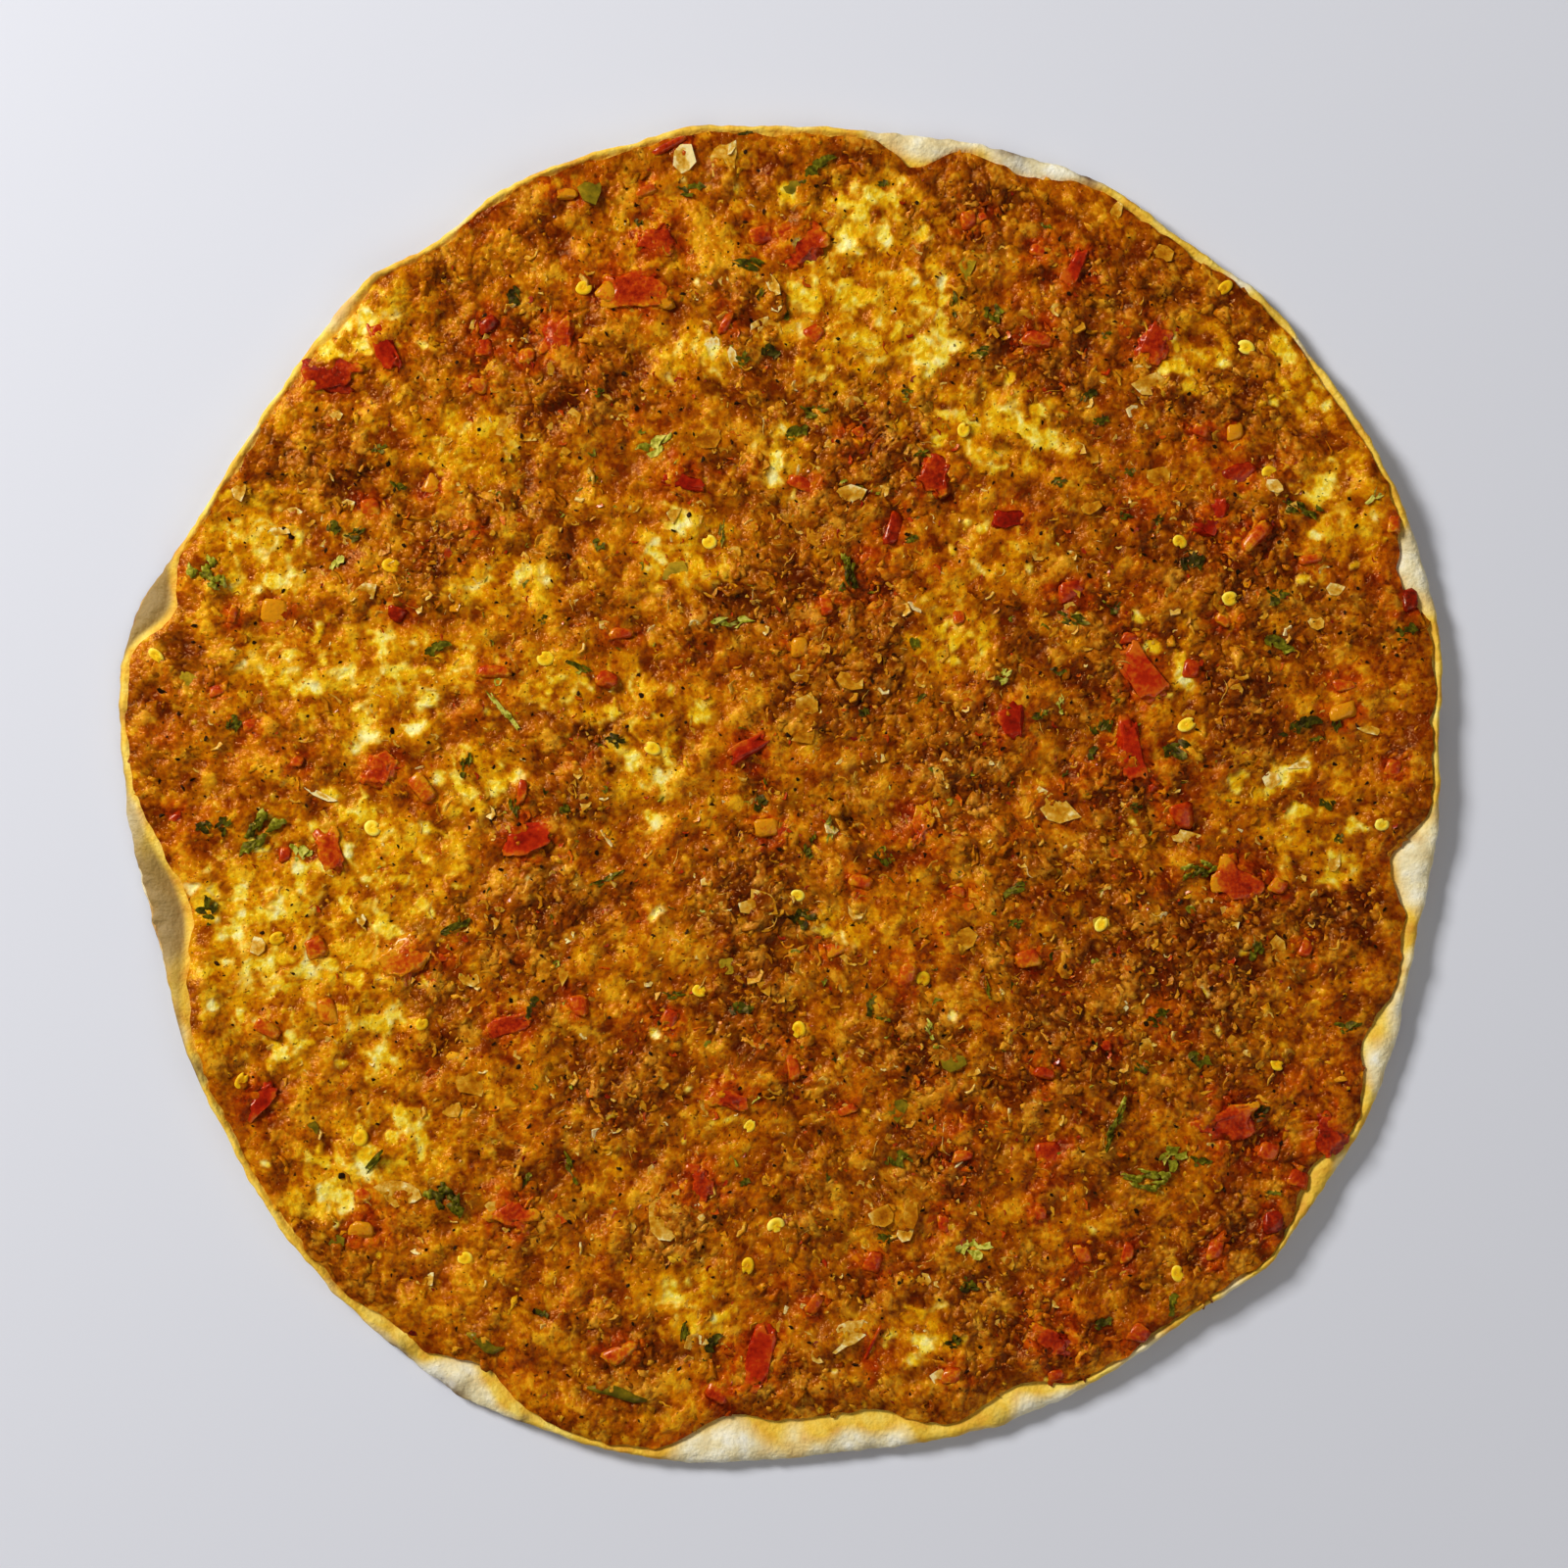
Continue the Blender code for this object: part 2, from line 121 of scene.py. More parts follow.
# Patches where the paste is so thin that the dough shows: centre and half-widths in millimetres
BARE_PATCHES = (
    (17, 126, 6, 3), (15, 121, 3, 4), (12, 117, 3, 4), (20, 119, 2, 3), (22, 127, 2, 3), (3, 106, 3, 4),
    (15, 106, 6, 3), (27, 107.5, 1.5, 3), (29, 94, 5, 4), (34, 96, 3, 2), (47, 78, 4, 4), (52, 76, 5, 3),
    (-15, 95, 2, 3), (-2, 70, 2, 4), (0, 126, 2, 3), (-97, 100, 10, 9), (-85, 33, 3, 3), (-80, 26.5, 7, 2),
    (-92, 26.5, 4, 1.5), (-103, 23.5, 4, 3), (-106, 45, 5, 2), (-69, 2, 4, 2), (-89, 13, 3, 3),
    (-78, 15, 3, 2), (-58, 4, 2, 1.5), (-91, -4, 5, 2.5), (-97, 0.5, 4, 1), (-117, -28.5, 5, 2),
    (-111, -25, 4, 2), (-107, -35, 4, 3), (-103, -37, 2, 2), (-77, -22, 3, 2), (-86, -47, 4, 4),
    (-86, -55, 4, 3), (-105, -53, 4, 3), (-80, -68, 4, 2), (-77, -72.5, 2, 4), (-97, -76, 4, 2),
    (-97, -83, 4, 3), (-89, -77, 2, 4), (-32, 8, 3, 2), (-26, 3, 1.5, 5), (-28, -5, 2, 2), (-19, 18, 2, 3),
    (37, 33, 4, 3), (41, 32, 2, 3), (27, -115, 4, 2.5), (-25, -105, 4, 2.5), (-15, -110, 3, 2),
    (-13, -68.5, 3, 1), (113, 65, 4, 4), (113, 82, 2, 2), (115, -14, 3, 4), (102, 3, 2.5, 2),
    (109, 6, 4, 1.2), (83, 27, 2, 5), (76, 31, 2, 1), (103, 95, 2, 2), (107, 91, 2, 2),
)
# Pools of yellow fat, with centre and half-widths in millimetres
OIL_POOLS = (
    (-104, -31, 25, 23), (-88, -14, 20, 14), (16, 106, 19, 21), (42, 77, 16, 10), (-96, 25, 24, 10),
    (-76, 29, 15, 7), (-83, -74, 14, 10), (-97, -82, 8, 8), (-67, 4, 12, 8), (-32, 8, 8, 11), (-1, 70, 6, 8),
    (33, 35, 9, 9), (43, 52, 8, 8), (117, 60, 11, 14), (28, -113, 8, 6), (-21, -107, 8, 8), (84, 93, 10, 8),
    (-22, 52, 10, 10), (-42, 23, 15, 9), (-67, 73, 11, 8), (-112, 52, 11, 12), (110, -8, 10, 10),
    (100, 3, 9, 6), (-60, 45, 12, 6), (12, -28, 6, 5), (108, 85, 8, 7), (-20, 92, 7, 9),
)
# Heaps of loose browned mince: centre and radius in millimetres
HEAPS = (
    (-69, 99, 9), (-42, 87, 10), (-60, 65, 8), (14, 79, 14), (5, 62, 10), (12, 24, 20), (-4, 40, 10),
    (36, 5, 14), (60, 30, 12), (-58, -2, 11), (-45, 12, 9), (-58, -30, 15), (-34, -60, 12), (60, -10, 16),
    (85, -35, 16), (60, -45, 15), (30, -55, 13), (95, 15, 10), (92, 50, 12), (70, 105, 12), (50, 90, 10),
    (90, 85, 9), (30, -75, 12), (-20, -95, 10), (-35, -115, 10), (5, -125, 8), (85, -95, 12), (-100, 70, 8),
    (-120, 25, 6), (-75, 50, 7), (110, 35, 8), (120, -25, 7), (-5, -40, 12), (45, -110, 10), (-100, -95, 7),
    (10, 115, 7), (35, 115, 8), (-10, -20, 10),
)

# Cut vegetables that have solids of their own: kind, centre x and y, length and width in millimetres,
# turn from +X in degrees, and tone from 0 to 1
CUTS = (
    ("tomato", -96.0, 88.0, 11.0, 8.0, -10, .25), ("pepper", -84.5, 94.5, 10.5, 5.0, 112, .4),
    ("tomato", -48.5, 97.0, 8.5, 6.0, 75, .45), ("tomato", -27.5, 117.0, 8.5, 6.0, 20, .4),
    ("tomato", -32.0, 107.0, 12.0, 7.0, 5, .4), ("tomato", 2.5, 116.5, 9.5, 8.5, 30, .35),
    ("pepper", 60.5, 111.0, 9.5, 3.6, 62, .5), ("tomato", 77.5, 95.5, 8.5, 7.0, 60, .35),
    ("pepper", -22.0, 66.5, 9.5, 5.0, -15, .35), ("tomato", 31.0, 67.5, 8.5, 7.0, 80, .3),
    ("pepper", 47.0, 58.0, 7.5, 4.5, 8, .15), ("pepper", 89.0, 58.5, 9.0, 5.0, 48, .3),
    ("tomato", -86.0, 5.5, 7.5, 6.0, 70, .45), ("pepper", -55.0, -9.0, 10.0, 5.0, 8, .35),
    ("tomato", -96.0, -12.0, 9.0, 6.0, -65, .5), ("tomato", -80.0, -34.5, 10.5, 6.5, 42, .7),
    ("pepper", -8.5, 9.5, 9.5, 4.0, 33, .45), ("pepper", 47.5, 15.5, 8.0, 5.0, 98, .3),
    ("pepper", 75.0, 25.5, 12.0, 7.0, -50, .55), ("pepper", 72.5, 9.5, 14.0, 5.5, 92, .45),
    ("tomato", 28.0, -7.0, 8.0, 6.5, 80, .75), ("tomato", 95.5, -18.0, 9.5, 7.5, -35, .4),
    ("tomato", -59.0, -48.5, 10.0, 5.5, 12, .4), ("tomato", -58.0, -88.0, 8.5, 6.0, -35, .5),
    ("tomato", -12.5, -63.5, 8.0, 5.0, -25, .45), ("tomato", -18.5, -82.0, 8.0, 6.0, -60, .4),
    ("pepper", -6.5, -117.5, 13.0, 7.5, 80, .45), ("pepper", -111.5, -64.0, 8.0, 4.2, 48, .4),
    ("tomato", 92.5, -69.5, 12.5, 7.0, 4, .35), ("tomato", 113.2, -71.2, 8.5, 7.5, -60, .25),
    ("tomato", 56.0, -115.0, 9.0, 6.0, -10, .4), ("onion", -57.5, 77.5, 10.0, 6.5, -30, .55),
    ("onion", 56.5, -2.5, 11.5, 5.6, -36, .6), ("onion", 12.5, -113.5, 11.5, 6.0, 42, .75),
    ("onion", -25.0, -88.0, 10.5, 8.5, 68, .5), ("onion", -5.5, -23.0, 9.0, 6.8, -5, .5),
    ("onion", -82.0, -83.5, 10.0, 6.0, -12, .6), ("onion", -66.0, -59.5, 10.5, 7.5, 62, .4),
    ("onion", 84.5, -9.0, 8.5, 4.0, -8, .65), ("onion", -13.5, 134.0, 9.0, 6.5, 80, .6),
    ("parsley", -122.0, 46.5, 9.0, 7.5, -50, .6), ("parsley", -111.5, -7.5, 12.0, 8.0, 35, .45),
    ("parsley", -71.5, -85.0, 9.5, 7.5, -50, .3), ("parsley", 75.5, -80.5, 10.5, 6.0, -8, .5),
    ("parsley", 69.0, -69.0, 12.5, 3.2, 68, .45), ("parsley", 108.5, 60.5, 9.0, 4.0, -14, .3),
    ("parsley", 86.5, -15.5, 8.0, 4.5, 22, .5), ("parsley", 12.8, 47.0, 8.5, 5.0, 95, .3),
    ("green_pepper", -36.0, -126.0, 13.0, 7.0, -12, .4), ("green_pepper", -64.0, -115.5, 8.5, 7.0, -20, .5),
)

# Small pieces placed one by one: x, y, length and width in millimetres, tone from 0 to 1 where it isn't the
# usual one of its kind, and turn in degrees where it isn't 0
RED_BITS = (
    (-63, 99.5, 5, 4.5, .15), (-55, 92.5, 4, 4, .7), (-64, 94.5, 4, 4, .4), (-65, 86.5, 4.5, 3.5, .75),
    (-88, 61, 4, 4), (-75, 65.5, 4, 4, .85), (-66, 55, 3, 2), (-25, 137, 9, 2, .4, 30),
    (-30, 127.5, 5, 4, .7), (-38, 106, 5, 5, .75), (-5, 118, 6, 5), (5.5, 97.5, 4, 4), (-13, 99.5, 2, 7),
    (38, 121, 4, 5), (41, 122, 2, 2), (15, 76.5, 4, 3), (3, 66, 6, 3, .4), (22, 56, 3.5, 7, .1),
    (16.5, 50, 3, 2), (53, 115, 4, 3), (52.5, 96.5, 7, 6), (94, 76.5, 4, 4, .95), (87, 76.5, 4, 3, .6),
    (95, 68, 7, 5, .15), (98.5, 54.8, 8, 4.5, .6, 12), (110, 49.7, 6, 2.5, .6), (127.5, 57.5, 3, 5, .6),
    (-82.5, 38.5, 5, 3.5, .1), (-108, 39, 6, 6, .95), (-117, 38, 2, 4), (-120, 22, 4, 3),
    (-113.5, 15, 4, 3), (-62, 26.5, 8, 4.5, .6, -12), (-103.5, 7.2, 3, 3), (-77, 1, 8, 5, .7, -60),
    (-56, 1, 2, 6), (-129, -4.5, 3, 3, .4), (-106, -12.5, 3, 4, .4), (-99.5, -32, 5, 5, .6),
    (-73, -34, 5, 2), (-97, -45, 4, 6, .7), (-110, -49, 7, 3, .6), (-35, 34, 6, 3, .5, 25),
    (2.5, 31.5, 4, 5, .95), (-38, 25, 5, 6), (36, 37.5, 3, 3.5), (-4, -7, 6, 5, .95),
    (9.5, -32, 5, 4, .6), (15.5, -18, 5, 4, .6), (25, -38, 4, 7, .6), (-25, -47, 4, 5), (-44, -44, 5, 5),
    (36, -20, 3, 2), (8, 40, 3, 4), (60, 43, 7, 5, .3), (85, 27, 4, 5, .4), (77, 2, 3, 3, .4),
    (103, -19, 4, 4, .6), (92, 37, 4, 4, .75), (117, 23.5, 5, 3, .6), (117, 18, 6, 5, .95),
    (131, 41, 4, 6, .1), (127.5, 6, 4, 4), (83, -4, 6, 6, .4), (50.5, -34, 5, 4), (109, -32, 3, 4),
    (72, 33, 4, 3, .4), (-89.5, -84, 4, 4, .6), (-90, -91, 6, 7, .95), (5.5, -107, 3, 6),
    (-14.5, -126, 6, 5.5), (-35.5, -117, 8, 4, .6, 42), (34.5, -122, 4, 5, .6), (17.5, -116, 0.9, 12, .4),
    (18, -98, 4, 5, .4), (33, -90, 4, 4), (12.5, -66, 4, 2), (1, -57, 3, 6), (37, -76, 5, 3),
    (-20, -78.5, 4, 3), (54, -58, 5, 4, .4), (101, -75, 5, 5, .4), (62.5, -97, 4, 5.5, .6),
    (71.5, -96, 2.5, 5), (90, -95.5, 3.5, 6, .6), (102, -90, 5, 6, .1), (107.5, -80.5, 5, 4, .4),
    (67, -52.5, 3, 2.5, .4), (55, -75, 6, 5, .3), (53, -88, 3, 3, .4), (74, -113.5, 5, 5, .4),
    (56.5, -122, 4, 3), (-47, 127, 6, 4, .95),
)
GREEN_BITS = (
    (-57.5, 104.5, 2.5, 6, .1), (-86, 73, 3, 2), (-82, 65, 3, 3), (-91, 55, 4, 3), (-96, 56, 3, 4),
    (-95.5, 48.5, 2.5, 5, .9), (-9, 139.5, 3, 1.5, .3), (-20.5, 127.5, 5, 4), (-31.5, 120.5, 2, 2),
    (-8.5, 111.5, 6, 4, .3), (-6, 105, 1, 4), (-0.5, 101, 1.5, 4), (-9.5, 91.5, 2.5, 4),
    (-4, 93, 4, 4, .1), (6, 132, 7.5, 4, .4, 20), (20, 129, 2, 3), (35, 103, 1.5, 6), (43.5, 101, 4, 5),
    (40.5, 93, 4, 3), (28, 72, 3, 1.5), (-28, 74, 7, 4.5, .8, 50), (5.5, 81, 5, 3.5), (2, 76, 5, 4),
    (11.5, 66, 1.5, 1.5, .9), (26, 54, 2.5, 3), (-14, 55.5, 5, 1.6, .5, -70), (-40, 52.5, 3, 3),
    (-41, 66.5, 2, 2), (25, 85, 2, 2), (-40, 85, 2.5, 2.5), (123.5, 63, 1.8, 6, 1, -30),
    (85, 48.5, 5, 6, .1), (63, 84, 3, 4, .3), (66, 79, 3, 4, .3), (67, 97, 2, 2, .3), (54, 120, 3, 1.5),
    (72, 68, 2, 3, .3), (57, 66, 3, 2, .3), (71, 59, 3, 2, .3), (78, 58, 2, 2, .3),
    (-117, 14.5, 3, 5, .3), (-74.5, 30.5, 6, 4), (-60, 18, 9, 2.6, .9, -28), (-68, 6, 2, 6, .3),
    (-57.5, -3, 2, 5), (-123, -7, 3, 4, .2), (-119, -6.5, 3, 4, .2), (-102.5, -12, 4, 5, .9),
    (-122, -24.5, 4, 6, .3), (-70, -28, 7, 2.5, .3, 10), (-54, -44.5, 3, 4, .3), (-47, -3, 2, 5, .3),
    (-51.5, 37, 2, 2), (-11.8, 36.3, 8.5, 3, .8, -22), (-44, 27, 5, 2), (-36.5, 11.5, 4, 3, .1),
    (-6, -1, 3, 5, .2), (45.5, 25, 3.5, 3, .9), (27, 31.5, 2, 4), (28, 20.5, 2, 2), (16, 17.5, 2, 4, .3),
    (9, -7, 5, 2, .9, 65), (5, -9, 1.5, 4, .3), (20, -13.5, 4, 4, .3), (3, -26, 5, 4, .2),
    (-38, -17.5, 7, 2, .4, 35), (-24, -42, 4, 2), (-10, -45.5, 5, 4, .3), (17.5, -44, 3, 4, .3),
    (20, -47, 3, 2), (30, -49.5, 1.5, 5, .9), (42, -41, 1.2, 6, .5), (48, -20, 5, 3), (48, -27, 3, 2),
    (4, -12, 2, 4, .3), (60, 37, 6, 3, .3), (66, 14, 5, 5, .3), (64, 8.5, 3, 3, .3), (53, 17, 3, 4, .3),
    (57.5, 19, 1.5, 5, .9), (57, 26, 4, 2, .3), (82, 9, 5, 6, .2), (73, -2.5, 3, 2, .3),
    (98.5, -32, 3, 6), (103, 42, 4, 5, .3), (103, 31.5, 6.5, 4, .5), (108, 14.5, 7, 5, .2),
    (111.5, 12, 3, 2, .3), (130, 34, 4, 5, .2), (115.5, 14.5, 2, 4, .3), (113.5, -2, 3, 4, .3),
    (116, -9, 2, 2, .3), (118, -48.5, 5, 3), (69, 39.5, 3, 3, .3), (-88, -78, 1.5, 9, .4, -30),
    (-55, -81, 2, 3, .3), (-9, -81.5, 2, 3.5), (-45.5, -79, 1.5, 8), (23, -77, 5, 5), (20.5, -93.5, 3, 3),
    (39, -95.5, 7, 4, .9), (38, -103, 4, 4, .3), (35, -115.5, 3, 4, .2), (-22, -114, 1.5, 6),
    (-16, -116, 5, 4, .2), (-52, -109, 3, 3, .3), (78, -47, 4, 4, .3), (86.5, -56, 5, 4),
    (74.5, -57.5, 3, 4, .3), (81, -76.5, 5, 5, .7), (87, -77, 4, 3), (99.5, -67, 4, 3, .1),
    (66.5, -111.5, 4, 3, .3), (81, -107, 3, 4), (102, -83.5, 3, 2),
)
OLIVE_BITS = (
    (-41, 128, 6, 7), (1, 128, 4, 3), (38, 112, 4, 8, .7), (-127, 24, 6, 6, .8), (-95, -94, 4, 4, .4),
    (-100, -70, 4, 4), (35, -56.5, 6, 4), (23, -66, 5, 6), (-12.5, -35, 9, 5.5, .8, 72),
    (-24, 47, 7, 5, .9), (15, 64, 5, 4), (66, -27, 4, 3, .9),
)
PALE_BITS = (
    (-115, 64.5, 3.5, 5), (-107.5, 55.5, 6, 2, .7), (-95, 80, 3, 3, .7), (-72, 75, 3, 3),
    (-104, 60, 4, 2, .7), (-93, 61, 4, 3), (-22, 134, 5, 8, .8), (-11.5, 137, 1.5, 5, .7),
    (-3, 107.5, 3, 6, .7), (-5.5, 99, 5, 4), (-15.5, 95.5, 4, 4, .9), (-11.5, 92, 2, 5, .8),
    (-24, 59.5, 3, 5), (-34.5, 79, 4, 4), (-17, 75, 7, 5, .2), (13, 63.5, 8, 4), (6, 55, 5, 7, .3),
    (77, 86.5, 9, 5, .5, -35), (102.5, 65, 5, 3, .7), (78.5, 67, 6, 6, .3), (64, 72, 5, 4, .3),
    (64, 60.5, 5, 3, .3), (66, 87.5, 3, 1), (79, 114, 5, 5, .4), (69, 123, 3, 5, .5), (-89, 43, 6, 3.5),
    (-90, -26, 2, 4, .7), (-111.5, -31.5, 4, 4, .7), (-67, -38.5, 6, 4), (-98, 0, 8, 1.5, .9),
    (3, 25, 5, 5, .3), (4, 18.5, 5.5, 5, .3), (3.5, 12.5, 6, 4, .3), (13, 24, 7, 5, .4),
    (37, -30, 6, 6, .4), (-47, -37, 3, 6, .5), (93, -27, 4, 3.5, .5), (103, -32, 5, 5, .5),
    (111.5, 36.5, 4, 4), (115.5, 43.5, 4, 3, .7), (123, 14, 6, 2), (102, 3, 4, 4, .7),
    (108, 6.5, 6, 2, .8), (115, -14, 3, 6, .7), (-71, -66, 5, 5, .5), (-76.5, -102, 5, 3),
    (-62, -86.5, 4, 3), (20, -88.5, 6, 5, .35), (26, -88, 4, 8, .3), (25, -92, 4, 4),
    (32, -122, 4, 4, .7), (28.5, -102.5, 4, 4, .5), (75.5, -53, 4, 5, .5), (57.5, -101.5, 2, 2, .8),
)
SEEDS = (
    (-83.5, 48.5), (-43, 107), (37, 77), (-16.5, 53.5), (96.5, 94.5), (92, 107), (101.5, 68), (82.5, 53.5),
    (-133, 29.5), (-87.5, -6.8), (-107.5, -30), (-77, -48), (-51, 29), (-28.5, 10), (2, -21), (28.5, -38.5),
    (2.3, -49.3), (-18.5, -41), (93, 41.5), (125, -6), (-115, -60), (-90, -72), (-68, -97.5), (-8, -69.5),
    (-2.5, -90.5), (-8.5, -99), (103, -56.5), (82, -100.5), (84, 15), (66, -27),
)

DARK_SPECKS = (
    (-84, 70, 1.4, 1.2), (-132, 22, 1.5, 1.2), (-94, -80, 1.6, 1.2), (-104.6, 54.7, 1.6, 1.4, .1),
)
DARK_FLAKES = ((-79, -113, 2.2, 1.6), (2, -63.5, 2.2, 1.4))
# Red juice round each red piece: its centre and half-widths, a little wider than the piece
RED_STAINS = [(x, y, 0.5 * length + 1.6, 0.5 * width + 1.6) for x, y, length, width, *_ in RED_BITS]
RED_STAINS += [
    (x, y, 0.25 * (length + width) + 2.0, 0.25 * (length + width) + 2.0)
    for kind, x, y, length, width, _, _ in CUTS if kind in ("tomato", "pepper")
]


# Shape of the bread and the mince

def swell(angle, swells):
    """Height at each angle of rounded swells given by centre, half-width and height."""
    total = np.zeros_like(angle)
    for centre, half_width, height in swells:
        apart = (angle - centre + 180.0) % 360.0 - 180.0
        total += height * np.exp(-((apart / half_width) ** 2))
    return total * MM


def polar(x, y):
    return np.degrees(np.arctan2(y, x)), np.hypot(x, y)


def edge_radius(angle):
    return BREAD_RADIUS + swell(angle, EDGE_SWELLS)


def mince_radius(angle):
    return edge_radius(angle) - LIP_WIDTH - swell(angle, MINCE_BAYS)


def rim_lift(angle, radius):
    """How far the bread has curled up off the flat at a place on its outer band."""
    share = np.clip((radius - edge_radius(angle) + RIM_WIDTH) / RIM_WIDTH, 0.0, 1.0)
    return (RIM_LIFT + swell(angle, RIM_CURLS)) * share * share


def rough(x, y, span, layer=0.0):
    """Smooth noise from about -1 to 1 whose bumps are one span apart. Each layer is another pattern."""
    return np.array([noise.noise(place) for place in zip(x / span, y / span, np.full_like(x, layer))])


def mixed(x, y, parts):
    return sum(weight * rough(x, y, span * MM, layer) for span, layer, weight in parts)


def mince_depth(x, y):
    """Depth of the mince over the bread: soft lumps and smaller crumbs, thin at the edge."""
    angle, radius = polar(x, y)
    share = np.clip((mince_radius(angle) - radius) / MINCE_TAPER, 0.0, 1.0)
    lumps = 0.45 * rough(x, y, LUMP_SPAN) + 0.35 * rough(x, y, CRUMB_SPAN, CRUMB_LAYER)
    full = MINCE_DEPTH * (1.0 + lumps)
    return MINCE_EDGE_DEPTH + (full - MINCE_EDGE_DEPTH) * share * (2.0 - share)


def nearness(x, y, patches):
    """1 in the middle of the nearest patch, 0 on its edge and less than 0 outside it."""
    nearest = np.full_like(x, -9.0)
    for centre_x, centre_y, half_x, half_y in patches:
        across = (x - centre_x * MM) / (half_x * MM)
        along = (y - centre_y * MM) / (half_y * MM)
        nearest = np.maximum(nearest, 1.0 - np.hypot(across, along))
    return nearest


def crumbs(x, y, span, layer):
    """Crumbs about one span across: 0 in the cracks up to 1 inside, and each crumb's own tone."""
    bent_x = x / span + 0.45 * rough(x, y, 0.9 * span, layer)
    bent_y = y / span + 0.45 * rough(x, y, 0.9 * span, layer + 3.0)
    inside, tones = np.empty_like(x), np.empty_like(x)
    for number, (across, along) in enumerate(zip(bent_x, bent_y)):
        distances, points = noise.voronoi((across, along, layer))
        inside[number] = distances[1] - distances[0]
        tones[number] = noise.cell(points[0] * 7.7)
    return np.clip(inside / 0.45, 0.0, 1.0), tones


def topping(x, y):
    """Height of the mince at each place, how bare, oily, rich and red, its painted crevice shade, and its
    tone with painted light.
    """
    ragged = mixed(x, y, RAGGED)
    near = nearness(x, y, BARE_PATCHES)
    left = -x / BREAD_RADIUS
    pool = np.clip(2.2 * nearness(x, y, OIL_POOLS), -1.0, 0.9)
    oily = np.clip((np.maximum(near + 1.2, pool + 0.4) + 2.1 * ragged) * 0.6 + 0.1 * left, 0.0, 1.0)
    thread = np.clip(1.0 - 13.0 * np.abs(rough(x, y, THREAD_SPAN, 5.5)), 0.0, 1.0)
    cores = 0.5 * pool + mixed(x, y, CORES) - 1.1
    bare = np.clip((np.maximum(near + 1.7 * ragged - 0.1, cores)) * 2.2, 0.0, 1.0)
    bare = np.maximum(bare, thread * np.clip(2.0 * oily - 1.1, 0.0, 0.75))
    heaps = nearness(x, y, [(*heap, heap[2]) for heap in HEAPS])
    drift = mixed(x, y, DRIFTS)
    rich = np.clip(0.5 + 0.4 * np.clip(heaps, -0.8, 0.6) + 0.7 * drift - 0.7 * oily - 0.15 * left, 0.0, 1.0)
    smears = 1.6 * rough(x, y, SMEAR_SPAN, 31.3) - 0.35 + 0.5 * ragged
    stained = (nearness(x, y, RED_STAINS) + 0.3 + 1.3 * ragged) * 1.4
    red = np.clip(np.maximum(stained, smears), 0.0, 1.0) * (1.0 - bare) * (1.0 - 0.5 * oily)
    inside, tones = crumbs(x, y, COARSE_MASH, 8.9)
    small_inside, small_tones = crumbs(x, y, FINE_MASH, 15.3)
    firm = 1.0 - 0.95 * bare - 0.6 * oily * (1.0 - bare)
    lumps = 0.8 * rough(x, y, SOFT_LUMP_SPAN, 21.3)
    # Painted shade: the cracks between crumbs are marked for darkening, less on the lump tops
    crevice_shade = np.clip(1.0 - 2.6 * inside, 0.0, 1.0) * (0.35 + 0.65 * rich)
    crevice_shade += 0.5 * np.clip(1.0 - 2.6 * small_inside, 0.0, 1.0) * rich - 0.7 * lumps
    crevice_shade = np.clip(crevice_shade, 0.0, 1.0) * firm
    # Painted light and shade: the lump tops lighter and the right half darker, over each crumb's own tone
    tone_and_shade = 0.5 + 0.2 * tones + 0.16 * small_tones + 0.35 * lumps - 0.1 * np.clip(x / BREAD_RADIUS, 0.0, 1.0)
    relief = 0.75 * np.sqrt(inside) * (0.4 + 0.6 * rich) + 0.35 * np.sqrt(small_inside) + 1.4 * lumps - 0.5
    angle, radius = polar(x, y)
    dough = BREAD_THICKNESS + GAP + rim_lift(angle, radius)
    shallow = np.clip((mince_radius(angle) - radius) / MINCE_TAPER, 0.15, 1.0)
    body = mince_depth(x, y) * (1.0 - 0.2 * bare) - 0.3 * MM * shallow
    height = body + (relief * firm + 0.3 * rich + 0.3 * bare) * shallow * MM
    for _, cut_x, cut_y, length, width, turn, _ in CUTS:
        cosine, sine = math.cos(math.radians(turn)), math.sin(math.radians(turn))
        off_x, off_y = x - cut_x * MM, y - cut_y * MM
        along = (off_x * cosine + off_y * sine) / (0.62 * length * MM)
        across = (off_y * cosine - off_x * sine) / (0.62 * width * MM)
        height += 0.4 * MM * np.exp(-((along**2 + across**2) ** 2))
    looks = {"bare": bare, "oily": oily, "rich": rich, "red": red, "crevice_shade": crevice_shade, "tone_and_shade": tone_and_shade}
    return dough + np.maximum(height, 0.15 * MM), looks


# Meshes

def mesh_from(bm, name):
    mesh = bpy.data.meshes.new(name)
    bm.to_mesh(mesh)
    bm.free()
    return mesh


def places_of(mesh):
    flat = np.empty(len(mesh.vertices) * 3, np.float32)
    mesh.vertices.foreach_get("co", flat)
    return flat.reshape(-1, 3).astype(float)


def move_to(mesh, places):
    mesh.vertices.foreach_set("co", places.astype(np.float32).ravel())
    mesh.update()


def note(mesh, name, values):
    """Stores one number for each vertex, which the material reads by name."""
    layer = mesh.attributes.get(name) or mesh.attributes.new(name, "FLOAT", "POINT")
    layer.data.foreach_set("value", np.asarray(values, np.float32))


def piece_from(mesh, name, material, slot, *nodes, crisp=False):
    """Puts a finished mesh in the scene as a piece of the lahmacun, its corners kept hard if crisp."""
    mesh.shade_smooth()
    if crisp:
        mesh.set_sharp_from_angle(angle=math.radians(38))
    mesh.materials.clear()
    mesh.materials.append(material)
    piece = bpy.data.objects.new(name, mesh)
    bpy.context.scene.collection.objects.link(piece)
    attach(piece, "root")
    if nodes:
        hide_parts(*nodes)
    return piece


# Materials

def linear(colour):
    """An sRGB hex colour as linear light with full alpha."""
    parts = [int(colour[place:place + 2], 16) / 255 for place in (1, 3, 5)]
    light = [part / 12.92 if part <= 0.04045 else ((part + 0.055) / 1.055) ** 2.4 for part in parts]
    return (*light, 1.0)


